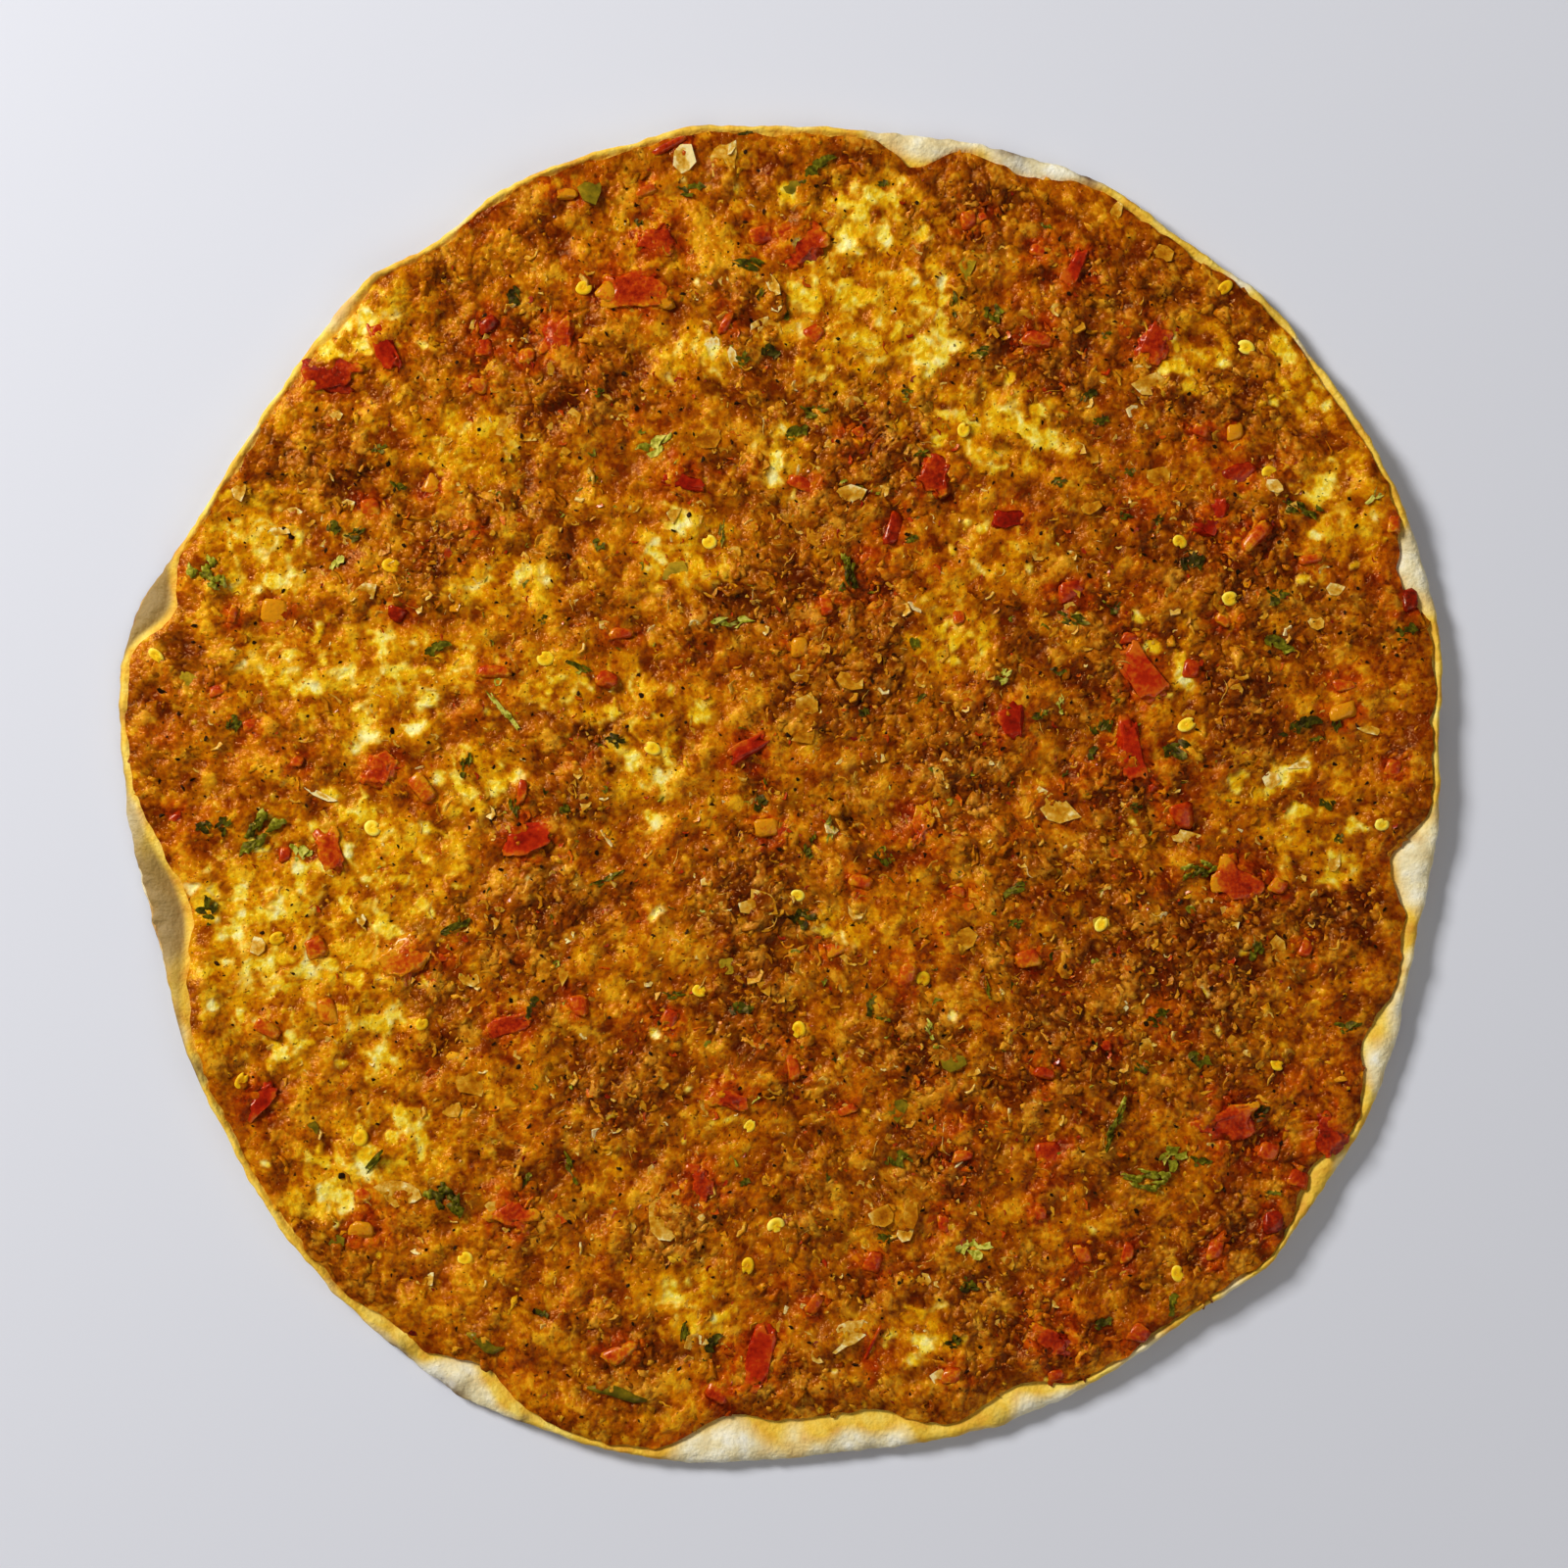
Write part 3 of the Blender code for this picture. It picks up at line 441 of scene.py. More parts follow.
def new_material(name):
    material = bpy.data.materials.new(name)
    material.use_nodes = True
    material.node_tree.nodes.clear()
    return material


def add(material, kind, inputs=None, stops=(), **settings):
    """Adds a node. Each input is a constant, or another node's output to link."""
    tree = material.node_tree
    node = tree.nodes.new("ShaderNode" + kind)
    for name, value in settings.items():
        setattr(node, name, value)
    for name, value in (inputs or {}).items():
        if isinstance(value, bpy.types.NodeSocket):
            tree.links.new(value, node.inputs[name])
        else:
            node.inputs[name].default_value = value
    for number, (place, colour) in enumerate(stops):
        ramp = node.color_ramp.elements
        stop = ramp[number] if number < 2 else ramp.new(place)
        stop.position = place
        stop.color = linear(colour)
    return node


def finish_with(material, shader_inputs):
    shader = add(material, "BsdfPrincipled", shader_inputs, subsurface_method="BURLEY")
    add(material, "OutputMaterial", {"Surface": shader.outputs[0]})
    return material


def per(length):
    """Texture scale at which one bump of a pattern is this long."""
    return 1.0 / length


def food_finish(name, stops, blotch, grain, relief, roughness, shine=0.25, coat=0.0, glow=0.0, variety=0.6):
    """A moist cooked food, its colour set by the piece's tone with painted shade, soft blotches and fine
    grain.

    The glow is the light that comes through its flesh, and the variety how far its colour strays.
    """
    material = new_material(name)
    place = add(material, "TexCoord").outputs["Object"]
    tone_and_shade = add(material, "Attribute", attribute_name="tone_and_shade").outputs["Fac"]
    soft = add(material, "TexNoise", {"Vector": place, "Scale": per(blotch), "Detail": 2.0})
    fine = add(material, "TexNoise", {"Vector": place, "Scale": per(grain), "Detail": 3.0})
    level = tone_and_shade
    for pattern in (soft, fine):
        varied = {0: pattern.outputs["Fac"], 1: variety, 2: level}
        level = add(material, "Math", varied, operation="MULTIPLY_ADD").outputs[0]
    level = add(material, "Math", {0: level, 1: variety}, operation="SUBTRACT").outputs[0]
    colour = add(material, "ValToRGB", {"Fac": level}, stops)
    bump = add(material, "Bump", {"Height": fine.outputs["Fac"], "Strength": 0.7, "Distance": relief})
    return finish_with(material, {
        "Base Color": colour.outputs[0],
        "Normal": bump.outputs[0],
        "Roughness": roughness,
        "Specular IOR Level": shine,
        "Specular Tint": linear("#FFC080"),
        "Coat Weight": coat,
        "Coat Roughness": 0.12,
        "Subsurface Weight": glow,
        "Subsurface Radius": (1.0, 0.45, 0.2),
        "Subsurface Scale": 1.0 * MM,
        "IOR": 1.4,
    })


def tomato_flesh():
    """Ripe tomato softened in the oven: wet, glassy red flesh that lets light in."""
    stops = ((0.0, "#560C01"), (0.3, "#8E1602"), (0.55, "#B23003"), (0.8, "#C65805"), (1.0, "#D4860A"))
    return food_finish(
        "tomato_flesh", stops, 2.6 * MM, 0.8 * MM, 0.3 * MM, 0.2,
        shine=0.5, coat=0.2, glow=0.3, variety=0.9,
    )


def red_pepper_skin():
    """Roasted red pepper: tight waxy skin, deep red with a sharp highlight."""
    stops = ((0.0, "#560501"), (0.35, "#8E1002"), (0.65, "#B42604"), (1.0, "#CA600C"))
    return food_finish(
        "red_pepper_skin", stops, 3.0 * MM, 1.0 * MM, 0.2 * MM, 0.2,
        shine=0.5, coat=0.2, glow=0.25, variety=0.8,
    )


def green_pepper_flesh():
    """Green pepper cooked to olive: dull, slightly see-through flesh under a waxy skin."""
    stops = ((0.0, "#383003"), (0.4, "#5E5006"), (0.7, "#8A700C"), (1.0, "#C49A1C"))
    return food_finish("green_pepper_flesh", stops, 3.0 * MM, 1.0 * MM, 0.2 * MM, 0.4, coat=0.2, glow=0.1)


def onion_flesh():
    """Onion sweated in oil: translucent layers from tan to peach and cream."""
    stops = ((0.0, "#8A4202"), (0.3, "#AE6606"), (0.6, "#C88818"), (0.85, "#E0B04A"), (1.0, "#F2DA94"))
    return food_finish(
        "onion_flesh", stops, 2.4 * MM, 0.9 * MM, 0.3 * MM, 0.28, shine=0.35, glow=0.35, variety=0.9,
    )


def parsley_leaf():
    """Flat-leaf parsley wilted by the heat: dark green with lighter veins."""
    stops = ((0.0, "#181402"), (0.3, "#3C3804"), (0.6, "#68620A"), (0.85, "#98921E"), (1.0, "#C4BC4E"))
    return food_finish("parsley_leaf", stops, 2.0 * MM, 0.8 * MM, 0.25 * MM, 0.42, shine=0.35, variety=1.0)


def pepper_seed():
    """Seeds of the pepper: smooth, glossy pale yellow."""
    stops = ((0.0, "#BA7004"), (0.35, "#E4A60A"), (0.7, "#F6C820"), (1.0, "#FFE75E"))
    return food_finish(
        "pepper_seed", stops, 2.0 * MM, 0.8 * MM, 0.1 * MM, 0.3, shine=0.35, glow=0.35, variety=0.4,
    )


def ground_pepper():
    """Cracked black pepper: matt, nearly black husk."""
    stops = ((0.0, "#0B0502"), (0.6, "#1E0D04"), (1.0, "#3A1B08"))
    return food_finish("ground_pepper", stops, 1.0 * MM, 0.3 * MM, 0.1 * MM, 0.6)


def chilli_flake():
    """Dried chilli flakes: thin, leathery, dark red to orange."""
    stops = ((0.0, "#4A0802"), (0.5, "#8C1604"), (1.0, "#C4480C"))
    return food_finish("chilli_flake", stops, 1.5 * MM, 0.5 * MM, 0.1 * MM, 0.36, coat=0.3)


def spiced_paste():
    """Mince, tomato and pepper baked in their fat: orange, golden where oily, cream where bare, with painted
    shade in its crevices.
    """
    material = new_material("spiced_paste")
    place = add(material, "TexCoord").outputs["Object"]
    bare, oily, rich, red, crevice_shade, tone_and_shade = (
        add(material, "Attribute", attribute_name=name).outputs["Fac"]
        for name in ("bare", "oily", "rich", "red", "crevice_shade", "tone_and_shade")
    )
    # 6 mm stains, 1.3 mm mash and 0.8 mm specks of burnt fat
    stain, mash, specks = (
        add(material, "TexNoise", {"Vector": place, "Scale": per(span), "Detail": detail}).outputs["Fac"]
        for span, detail in ((6 * MM, 3.0), (1.3 * MM, 3.0), (0.8 * MM, 1.0))
    )
    level = add(material, "Math", {0: stain, 1: 0.6, 2: tone_and_shade}, operation="MULTIPLY_ADD").outputs[0]
    level = add(material, "Math", {0: mash, 1: 1.0, 2: level}, operation="MULTIPLY_ADD").outputs[0]
    level = add(material, "Math", {0: level, 1: 0.8}, operation="SUBTRACT").outputs[0]
    kinds = {
        "paste": ((0.1, "#802C01"), (0.38, "#AC5402"), (0.62, "#C67204"), (0.9, "#E09C14")),
        "meaty": ((0.1, "#561801"), (0.38, "#823602"), (0.62, "#A85806"), (0.9, "#CE8624")),
        "golden": ((0.1, "#A84E01"), (0.38, "#CE7A03"), (0.62, "#E49E06"), (0.9, "#F2C422")),
        "reddish": ((0.1, "#701401"), (0.38, "#A03002"), (0.62, "#BE4E03"), (0.9, "#D88008")),
        "dough": ((0.1, "#DE9806"), (0.38, "#ECBA16"), (0.62, "#F6DA52"), (0.9, "#FCEE9C")),
    }
    coloured = {
        kind: add(material, "ValToRGB", {"Fac": level}, stops).outputs[0] for kind, stops in kinds.items()
    }
    # Painted shade: the crevices between crumbs are mixed towards a near-black brown
    dark = add(material, "Math", {0: crevice_shade, 1: 0.92}, operation="MULTIPLY", use_clamp=True).outputs[0]
    burnt = add(material, "MapRange", {"Value": specks, 1: 0.68, 2: 0.74, 3: 0.0, 4: 0.8}).outputs[0]
    colour = coloured["paste"]
    for amount, over in (
        (rich, coloured["meaty"]),
        (oily, coloured["golden"]),
        (red, coloured["reddish"]),
        (dark, linear("#400B01")),
        (bare, coloured["dough"]),
        (burnt, linear("#3A1402")),
    ):
        colour = add(material, "MixRGB", {"Fac": amount, "Color1": colour, "Color2": over}).outputs[0]
    bump = add(material, "Bump", {"Height": mash, "Strength": 0.9, "Distance": 0.6 * MM})
    return finish_with(material, {
        "Base Color": colour,
        "Normal": bump.outputs[0],
        "Roughness": 0.17,
        "Specular IOR Level": 0.3,
        "Specular Tint": linear("#FFBC6C"),
        "Subsurface Weight": 0.35,
        "Subsurface Radius": (1.0, 0.4, 0.12),
        "Subsurface Scale": 1.2 * MM,
        "IOR": 1.45,
    })


def baked_dough():
    """Thin wheat dough baked on stone: matt floury cream, stained by oil, browned on its blisters, with
    painted shade on its sunken flaps.
    """
    material = new_material("baked_dough")
    place = add(material, "TexCoord").outputs["Object"]
    oil, toast, flap_shade, below = (
        add(material, "Attribute", attribute_name=name).outputs["Fac"]
        for name in ("oil", "toast", "flap_shade", "below")
    )
    # 5 mm clouds of flour, 0.9 mm crumb, 11 mm spots from the baking stone
    cloud, crumb, spots = (
        add(material, "TexNoise", {"Vector": place, "Scale": per(span), "Detail": detail}).outputs["Fac"]
        for span, detail in ((5 * MM, 4.0), (0.9 * MM, 3.0), (11 * MM, 4.0))
    )
    colour = add(material, "ValToRGB", {"Fac": cloud}, (
        (0.3, "#DAC084"), (0.5, "#EADAAA"), (0.7, "#F6F0DA"),
    )).outputs[0]
    stained = add(material, "ValToRGB", {"Fac": cloud}, (
        (0.3, "#DA980E"), (0.5, "#ECBC2C"), (0.72, "#F6D860"),
    )).outputs[0]
    stone = add(material, "ValToRGB", {"Fac": spots}, (
        (0.42, "#E9D7AA"), (0.56, "#CFA45C"), (0.68, "#8A5420"), (0.8, "#4A2A10"),
    )).outputs[0]
    # Painted shade: the sunken flaps outside the topping are mixed to a dark tan, the shade of the fold
    for amount, over in (
        (oil, stained), (flap_shade, linear("#8C6C2E")), (below, stone), (toast, linear("#5A3210")),
    ):
        colour = add(material, "MixRGB", {"Fac": amount, "Color1": colour, "Color2": over}).outputs[0]
    bump = add(material, "Bump", {"Height": crumb, "Strength": 0.9, "Distance": 0.4 * MM})
    return finish_with(material, {
        "Base Color": colour,
        "Normal": bump.outputs[0],
        "Roughness": 0.7,
        "Subsurface Weight": 0.1,
        "Subsurface Radius": (1.0, 0.7, 0.4),
        "Subsurface Scale": 1.0 * MM,
    })


# Dough and mince

def dough_profile():
    """Half section from the middle of the top, over the edge, to the middle of the underside."""
    edge, lip, top = BREAD_RADIUS, BREAD_RADIUS - LIP_WIDTH, BREAD_THICKNESS
    inner = [(radius * MM, top) for radius in (0, 50, 100, 118)]
    inner += [(lip - inset * MM, top) for inset in (10, 7, 5, 4, 3, 2, 1.2, 0.5)]
    rounding = (
        (0.0, 0.0), (0.1, 0.08), (0.2, 0.18), (0.3, 0.28), (0.4, 0.36), (0.5, 0.4), (0.6, 0.38), (0.7, 0.28),
        (0.79, 0.12), (0.87, -0.12), (0.93, -0.4), (0.98, -0.8), (1.0, -1.3),
    )
    outer = [(lip + share * LIP_WIDTH, top + rise * MM) for share, rise in rounding]
    undercut = ((0.2, 0.9), (0.7, 0.5), (1.8, 0.25), (4, 0.08))
    under = [(edge - inset * MM, height * MM) for inset, height in undercut]
    bottom = [(radius * MM, 0.0) for radius in range(132, 0, -4)] + [(0.0, 0.0)]
    return inner + outer + under + bottom


def make_dough(material):
    bm = bmesh.new()
    points = [bm.verts.new((radius, 0.0, height)) for radius, height in dough_profile()]
    edges = [bm.edges.new(pair) for pair in zip(points, points[1:])]
    bmesh.ops.spin(
        bm, geom=points + edges, axis=(0, 0, 1), cent=(0, 0, 0), angle=math.tau,
        steps=BREAD_STEPS, use_merge=True,
    )
    bmesh.ops.remove_doubles(bm, verts=bm.verts, dist=0.01 * MM)
    bmesh.ops.recalc_face_normals(bm, faces=bm.faces)
    mesh = mesh_from(bm, "dough")
    x, y, z = places_of(mesh).T
    angle, radius = polar(x, y)
    edge, inner = edge_radius(angle), mince_radius(angle)
    lip = BREAD_RADIUS - LIP_WIDTH
    share = np.clip((radius - lip) / LIP_WIDTH, 0.0, 1.0)
    above = z > 0.45 * BREAD_THICKNESS
    pulled = np.where(above & (radius > lip), inner + share * (edge - inner), radius * inner / lip)
    pulled = np.where(above, pulled, radius * edge / BREAD_RADIUS)
    x, y = pulled * np.cos(np.radians(angle)), pulled * np.sin(np.radians(angle))
    beyond = np.clip((pulled - inner) / (2 * MM), 0.0, 1.0)
    near_edge = np.clip((pulled - edge + 4 * MM) / (4 * MM), 0.0, 1.0)
    ragged = 0.5 * rough(x, y, 6 * MM, 1.0) + 0.3 * rough(x, y, 2.2 * MM, 2.0)
    z += rim_lift(angle, pulled) - swell(angle, RIM_FLAPS) * beyond * above
    z += np.where(above, 0.4, 0.12) * MM * rough(x, y, 4.5 * MM, 5.0) * near_edge
    z += np.where(above, 0.3, 0.0) * MM * rough(x, y, 1.8 * MM, 6.0) * near_edge
    z += 0.6 * swell(angle, RIM_FLAPS) * rough(x, y, 2.6 * MM, 8.0) * near_edge * beyond * above
    toast = 0.9 * np.clip(rough(x, y, 7 * MM, 7.0) - 0.25, 0.0, 1.0) * near_edge
    for blister_angle, inset, reach, rise in BLISTERS:
        turn = math.radians(blister_angle)
        middle = float(edge_radius(np.array([float(blister_angle)]))[0]) - inset * MM
        away = np.hypot(x - middle * math.cos(turn), y - middle * math.sin(turn)) / (reach * MM)
        dome = np.exp(-away**4) * above
        z += rise * MM * dome * (0.8 + 0.4 * rough(x, y, 1.5 * MM, 9.0))
    for burnt_angle, half_width in CHARRED:
        apart = (angle - burnt_angle + 180.0) % 360.0 - 180.0
        burn = np.exp(-((apart / half_width) ** 2)) * near_edge
        toast = np.maximum(toast, burn * (0.8 + 0.6 * rough(x, y, 1.2 * MM, 9.5)))
    x += ragged * MM * near_edge * np.cos(np.radians(angle))
    y += ragged * MM * near_edge * np.sin(np.radians(angle))
    z += np.where(above, 0.0, 0.35 * MM * np.clip(rough(x, y, 9 * MM, 12.0), 0.0, 1.0))
    move_to(mesh, np.column_stack((x, y, np.maximum(z, 0.0))))
    reach = (pulled - inner) / OIL_REACH
    floury = swell(angle, FLOURED) / MM
    note(mesh, "oil", np.clip(1.7 - reach - floury + 1.5 * rough(x, y, 9 * MM, 14.0), 0.0, 1.0) * above)
    # Painted shade on the flaps that sink outside the topping
    flap = np.clip(swell(angle, RIM_FLAPS) / MM, 0.0, 1.0)
    note(mesh, "flap_shade", flap * np.clip((pulled - inner) / (1.5 * MM) - 0.7, 0.0, 0.95) * above)
    note(mesh, "toast", np.clip(toast, 0.0, 1.0))
    note(mesh, "below", 1.0 - above)
    return piece_from(mesh, "dough", material, "bread", "flatbread")


def make_paste_quarter(number, material):
    """A quarter of the sheet of paste and mince, closed by walls and a plain underside inside the dough."""
    bm = bmesh.new()
    bmesh.ops.create_grid(bm, x_segments=MINCE_CELLS, y_segments=MINCE_CELLS, size=0.5)
    bmesh.ops.translate(bm, verts=bm.verts, vec=(0.5, 0.5, 0.0))
    top_edge = [edge for edge in bm.edges if edge.is_boundary]
    for edge in top_edge:
        edge.smooth = False
    rim = top_edge
    for scale, height in ((1.0, -1.0), (0.86, -2.0)):
        grown = bmesh.ops.extrude_edge_only(bm, edges=rim)["geom"]
        rim = [part for part in grown if isinstance(part, bmesh.types.BMEdge)]
        for vert in (part for part in grown if isinstance(part, bmesh.types.BMVert)):
            vert.co.xy *= scale
            vert.co.z = height
    middle = bmesh.ops.extrude_edge_only(bm, edges=rim)["geom"]
    middle = [part for part in middle if isinstance(part, bmesh.types.BMVert)]
    bmesh.ops.pointmerge(bm, verts=middle, merge_co=(0.4, 0.4, -2))
    quarter_turns = Matrix.Rotation(number * math.tau / 4, 3, "Z")
    bmesh.ops.rotate(bm, verts=bm.verts, cent=(0, 0, 0), matrix=quarter_turns)
    bmesh.ops.recalc_face_normals(bm, faces=bm.faces)
    mesh = mesh_from(bm, f"paste_{number + 1}")
    across, along, level = places_of(mesh).T
    x = across * np.sqrt(1.0 - along * along / 2.0)
    y = along * np.sqrt(1.0 - across * across / 2.0)
    angle, _ = polar(x, y)
    radius = mince_radius(angle)
    ragged = 0.9 * rough(x, y, 0.045, 20.0) + 0.5 * rough(x, y, 0.018, 21.0)
    near_edge = np.clip((np.hypot(x, y) - 0.93) / 0.07, 0.0, 1.0)
    radius = radius + ragged * MM * near_edge
    x, y = x * radius, y * radius
    height, looks = topping(x, y)
    height = np.where(level > -0.5, height, np.where(level > -1.5, height - PASTE_WALL, PASTE_FLOOR))
    move_to(mesh, np.column_stack((x, y, height)))
    for name, values in looks.items():
        note(mesh, name, values)
    return piece_from(mesh, mesh.name, material, "mince", "meat_topping")


# Scattered and placed pieces

def shapes_of(make, count, *settings):
    """A few different shapes of unit size to draw from."""
    shapes = []
    for number in range(count):
        bm = bmesh.new()
        make(bm, number, *settings)
        shapes.append(mesh_from(bm, f"{make.__name__}_{number}"))
    return shapes


def lump(bm, number, subdivisions, roughness, squash):
    bmesh.ops.create_icosphere(bm, subdivisions=subdivisions, radius=0.5)
    for vert in bm.verts:
        vert.co *= 1.0 + roughness * noise.noise(vert.co * 5.1 + Vector((5.3 * number, 0, 0)))
        vert.co.z *= squash


def cut_block(bm, number, blunt, segments):
    """An uneven wedge-like block with knife-cut sides and blunted edges."""
    rng = np.random.default_rng(number)
    bmesh.ops.create_cube(bm, size=1.0)
    for vert in bm.verts:
        vert.co = Vector(np.array(vert.co) * rng.uniform((0.5, 0.2, 0.4), (1.2, 1.2, 1.0)))
        vert.co.y += 0.3 * (rng.random() - 0.5)
    bmesh.ops.bevel(
        bm, geom=bm.edges, offset=blunt, offset_type="OFFSET", segments=segments, profile=0.5,
        affect="EDGES", material=-1,
    )
    bmesh.ops.triangulate(bm, faces=bm.faces)


def chip(bm, number, corners, thickness):
    """A thin curved chip with an uneven outline."""
    rng = np.random.default_rng(number)
    bmesh.ops.create_circle(bm, cap_ends=True, cap_tris=True, segments=corners, radius=0.5)
    bmesh.ops.recalc_face_normals(bm, faces=bm.faces)
    for vert in bm.verts:
        if vert.co.length > 0.1:
            vert.co *= rng.uniform(0.62, 1.15)
        vert.co.z = 0.9 * vert.co.x**2 + 0.5 * vert.co.y * (rng.random() - 0.5)
    bmesh.ops.solidify(bm, geom=bm.faces, thickness=thickness)
    bmesh.ops.triangulate(bm, faces=bm.faces)
    bmesh.ops.recalc_face_normals(bm, faces=bm.faces)


def leaflet(bm, number, points, crumple, thickness):
    """A torn, toothed, crumpled scrap of leaf."""
    bmesh.ops.create_circle(bm, cap_ends=True, cap_tris=True, segments=points, radius=0.5)
    for order, vert in enumerate(bm.verts):
        round_to = math.atan2(vert.co.y, vert.co.x)
        teeth = 0.2 * math.cos(3.0 * round_to + number) - 0.22 * (order % 2)
        vert.co *= 1.0 + teeth * (vert.co.length > 0.1)
        wrinkle = noise.noise(vert.co * 5.0 + Vector((number, 0, 0)))
        vert.co.z = crumple * (wrinkle + 0.5 * abs(vert.co.y))
    bmesh.ops.solidify(bm, geom=bm.faces, thickness=thickness)
    bmesh.ops.triangulate(bm, faces=bm.faces)
    bmesh.ops.recalc_face_normals(bm, faces=bm.faces)


def sprig(bm, number, leaflets, points, crumple, thickness):
    """Several leaflets in a loose row, each at its own turn."""
    rng = np.random.default_rng(500 + number)
    for order in range(leaflets):
        single = bmesh.new()
        leaflet(single, number + 3 * order, points, crumple, thickness)
        scrap = mesh_from(single, "one_leaflet")
        along = 0.8 * (order + 0.5) / leaflets - 0.4
        turn = Matrix.Rotation(rng.uniform(-1.3, 1.3), 4, "Z")
        reach = 1.6 / leaflets + 0.2
        size = Matrix.Diagonal((reach, reach * rng.uniform(0.4, 0.8), 1.0, 1.0))
        scrap.transform(Matrix.Translation((along, rng.uniform(-0.32, 0.32), 0.06 * order)) @ turn @ size)
        bm.from_mesh(scrap)
        bpy.data.meshes.remove(scrap)


def strand(bm, number, thickness):
    """A thin bent thread of onion or pepper skin."""
    bmesh.ops.create_cube(bm, size=1.0)
    lengthwise = [edge for edge in bm.edges if abs(edge.verts[0].co.x - edge.verts[1].co.x) > 0.5]
    bmesh.ops.subdivide_edges(bm, edges=lengthwise, cuts=4)
    for vert in bm.verts:
        slim = thickness * (1.0 - 3.2 * vert.co.x**2)
        bend = (0.2 + 0.12 * number) * vert.co.x**2 + 0.1 * math.sin(6.0 * vert.co.x + number)
        vert.co.y = slim * vert.co.y + bend
        vert.co.z = 1.5 * slim * vert.co.z
    bmesh.ops.triangulate(bm, faces=bm.faces)


def seed(bm, number):
    """A flat round seed with a raised rim, dimpled in the middle and notched at one side."""
    bmesh.ops.create_icosphere(bm, subdivisions=3, radius=0.5)
    for vert in bm.verts:
        out = 2.0 * vert.co.xy.length
        vert.co.z *= 1.0 - 0.8 * math.exp(-((out / 0.5) ** 2))
        vert.co.x -= 0.25 * math.exp(-((vert.co.y / 0.1) ** 2)) * (vert.co.x > 0.1)
        vert.co.xy *= 1.0 + 0.09 * math.cos(2.0 * number + 2.0 * math.atan2(vert.co.y, vert.co.x))


def spread(count, seed_number):
    """Places spread evenly over the mince by the golden angle, each moved a little at random."""
    rng = np.random.default_rng(seed_number)
    number = np.arange(count)
    angle = number * TURN + seed_number
    radius = np.sqrt((number + 0.5) / count) * (mince_radius(np.degrees(angle) % 360.0) - SCATTER_MARGIN)
    x = radius * np.cos(angle) + rng.uniform(-1, 1, count) * SCATTER_JITTER
    y = radius * np.sin(angle) + rng.uniform(-1, 1, count) * SCATTER_JITTER
    return x, y, rng


def joined(name, shapes, spots, material, slot, draped=False, rim=0.0, crisp=True):
    """One piece of many small shapes resting on the mince, each painted darker at its foot as painted shade,
    paler at its rim.

    The largest end inside the bread and don't come out below it.
    """
    count = len(spots["x"])
    bm = bmesh.new()
    for number in range(count):
        bm.from_mesh(shapes[number % len(shapes)])
    mesh = mesh_from(bm, name)
    unit = np.array([places_of(shape) for shape in shapes])[np.arange(count) % len(shapes)]
    across, along, up = np.moveaxis(unit * spots["sizes"][:, None], -1, 0)
    cosine, sine = np.cos(spots["tilts"])[:, None], np.sin(spots["tilts"])[:, None]
    along, up = along * cosine - up * sine, along * sine + up * cosine
    cosine, sine = np.cos(spots["turns"])[:, None], np.sin(spots["turns"])[:, None]
    x = spots["x"][:, None] + across * cosine - along * sine
    y = spots["y"][:, None] + across * sine + along * cosine
    if draped:
        base = topping(x.ravel(), y.ravel())[0].reshape(x.shape)
    else:
        base = spots["level"][:, None]
    height = np.maximum(base + up + spots["lift"][:, None], 0.4 * BREAD_THICKNESS)
    move_to(mesh, np.stack((x, y, height), axis=-1).reshape(-1, 3))
    out = 2.0 * np.hypot(unit[..., 0], unit[..., 1])
    # Painted shade: each shape darker towards its foot and lighter towards its top; its rim paler
    note(mesh, "tone_and_shade", (spots["tints"][:, None] + 0.3 * unit[..., 2] + rim * (out**2 - 0.4)).ravel())
    for look in ("oily", "rich", "red"):
        note(mesh, look, np.repeat(spots[look], unit.shape[1]))
    return piece_from(mesh, name, material, slot, crisp=crisp)


def scatter(name, count, smallest, largest, share, tone, most, sunk, shapes, material, slot):
    """Loose small pieces, more or fewer of them by how meaty and how oily the mince is at each place.

    Pieces that are sunk deep are crumbs of the mince itself, so their corners are left soft. The seed of
    the random numbers comes from the name and the count, so that no two kinds fall on the same places.
    """
    x, y, rng = spread(count, len(name) + count)
    level, looks = topping(x, y)
    base, heaped, oiled = share
    chance = base + heaped * looks["rich"] + oiled * looks["oily"] - 0.85 * looks["bare"]
    kept = rng.random(count) < np.clip(chance, 0.0, 1.0)
    kept &= np.cumsum(kept) <= most
    total = int(kept.sum())
    spots = {look: values[kept] for look, values in looks.items()}
    size = (smallest + (largest - smallest) * rng.random(total) ** 1.7) * MM
    spots.update({
        "x": x[kept],
        "y": y[kept],
        "level": level[kept],
        "sizes": size[:, None] * rng.uniform((0.85, 0.6, 0.45), (1.4, 1.0, 0.75), (total, 3)),
        "tints": tone + 0.5 * (spots["tone_and_shade"] - 0.5) + 0.13 * rng.standard_normal(total),
        "lift": -sunk * size + rng.random(total) * 0.3 * MM * spots["rich"],
        "turns": rng.uniform(0, math.tau, total),
        "tilts": rng.uniform(-0.8, 0.8, total),
    })
    return joined(name, shapes, spots, material, slot, crisp=sunk < 0.2)


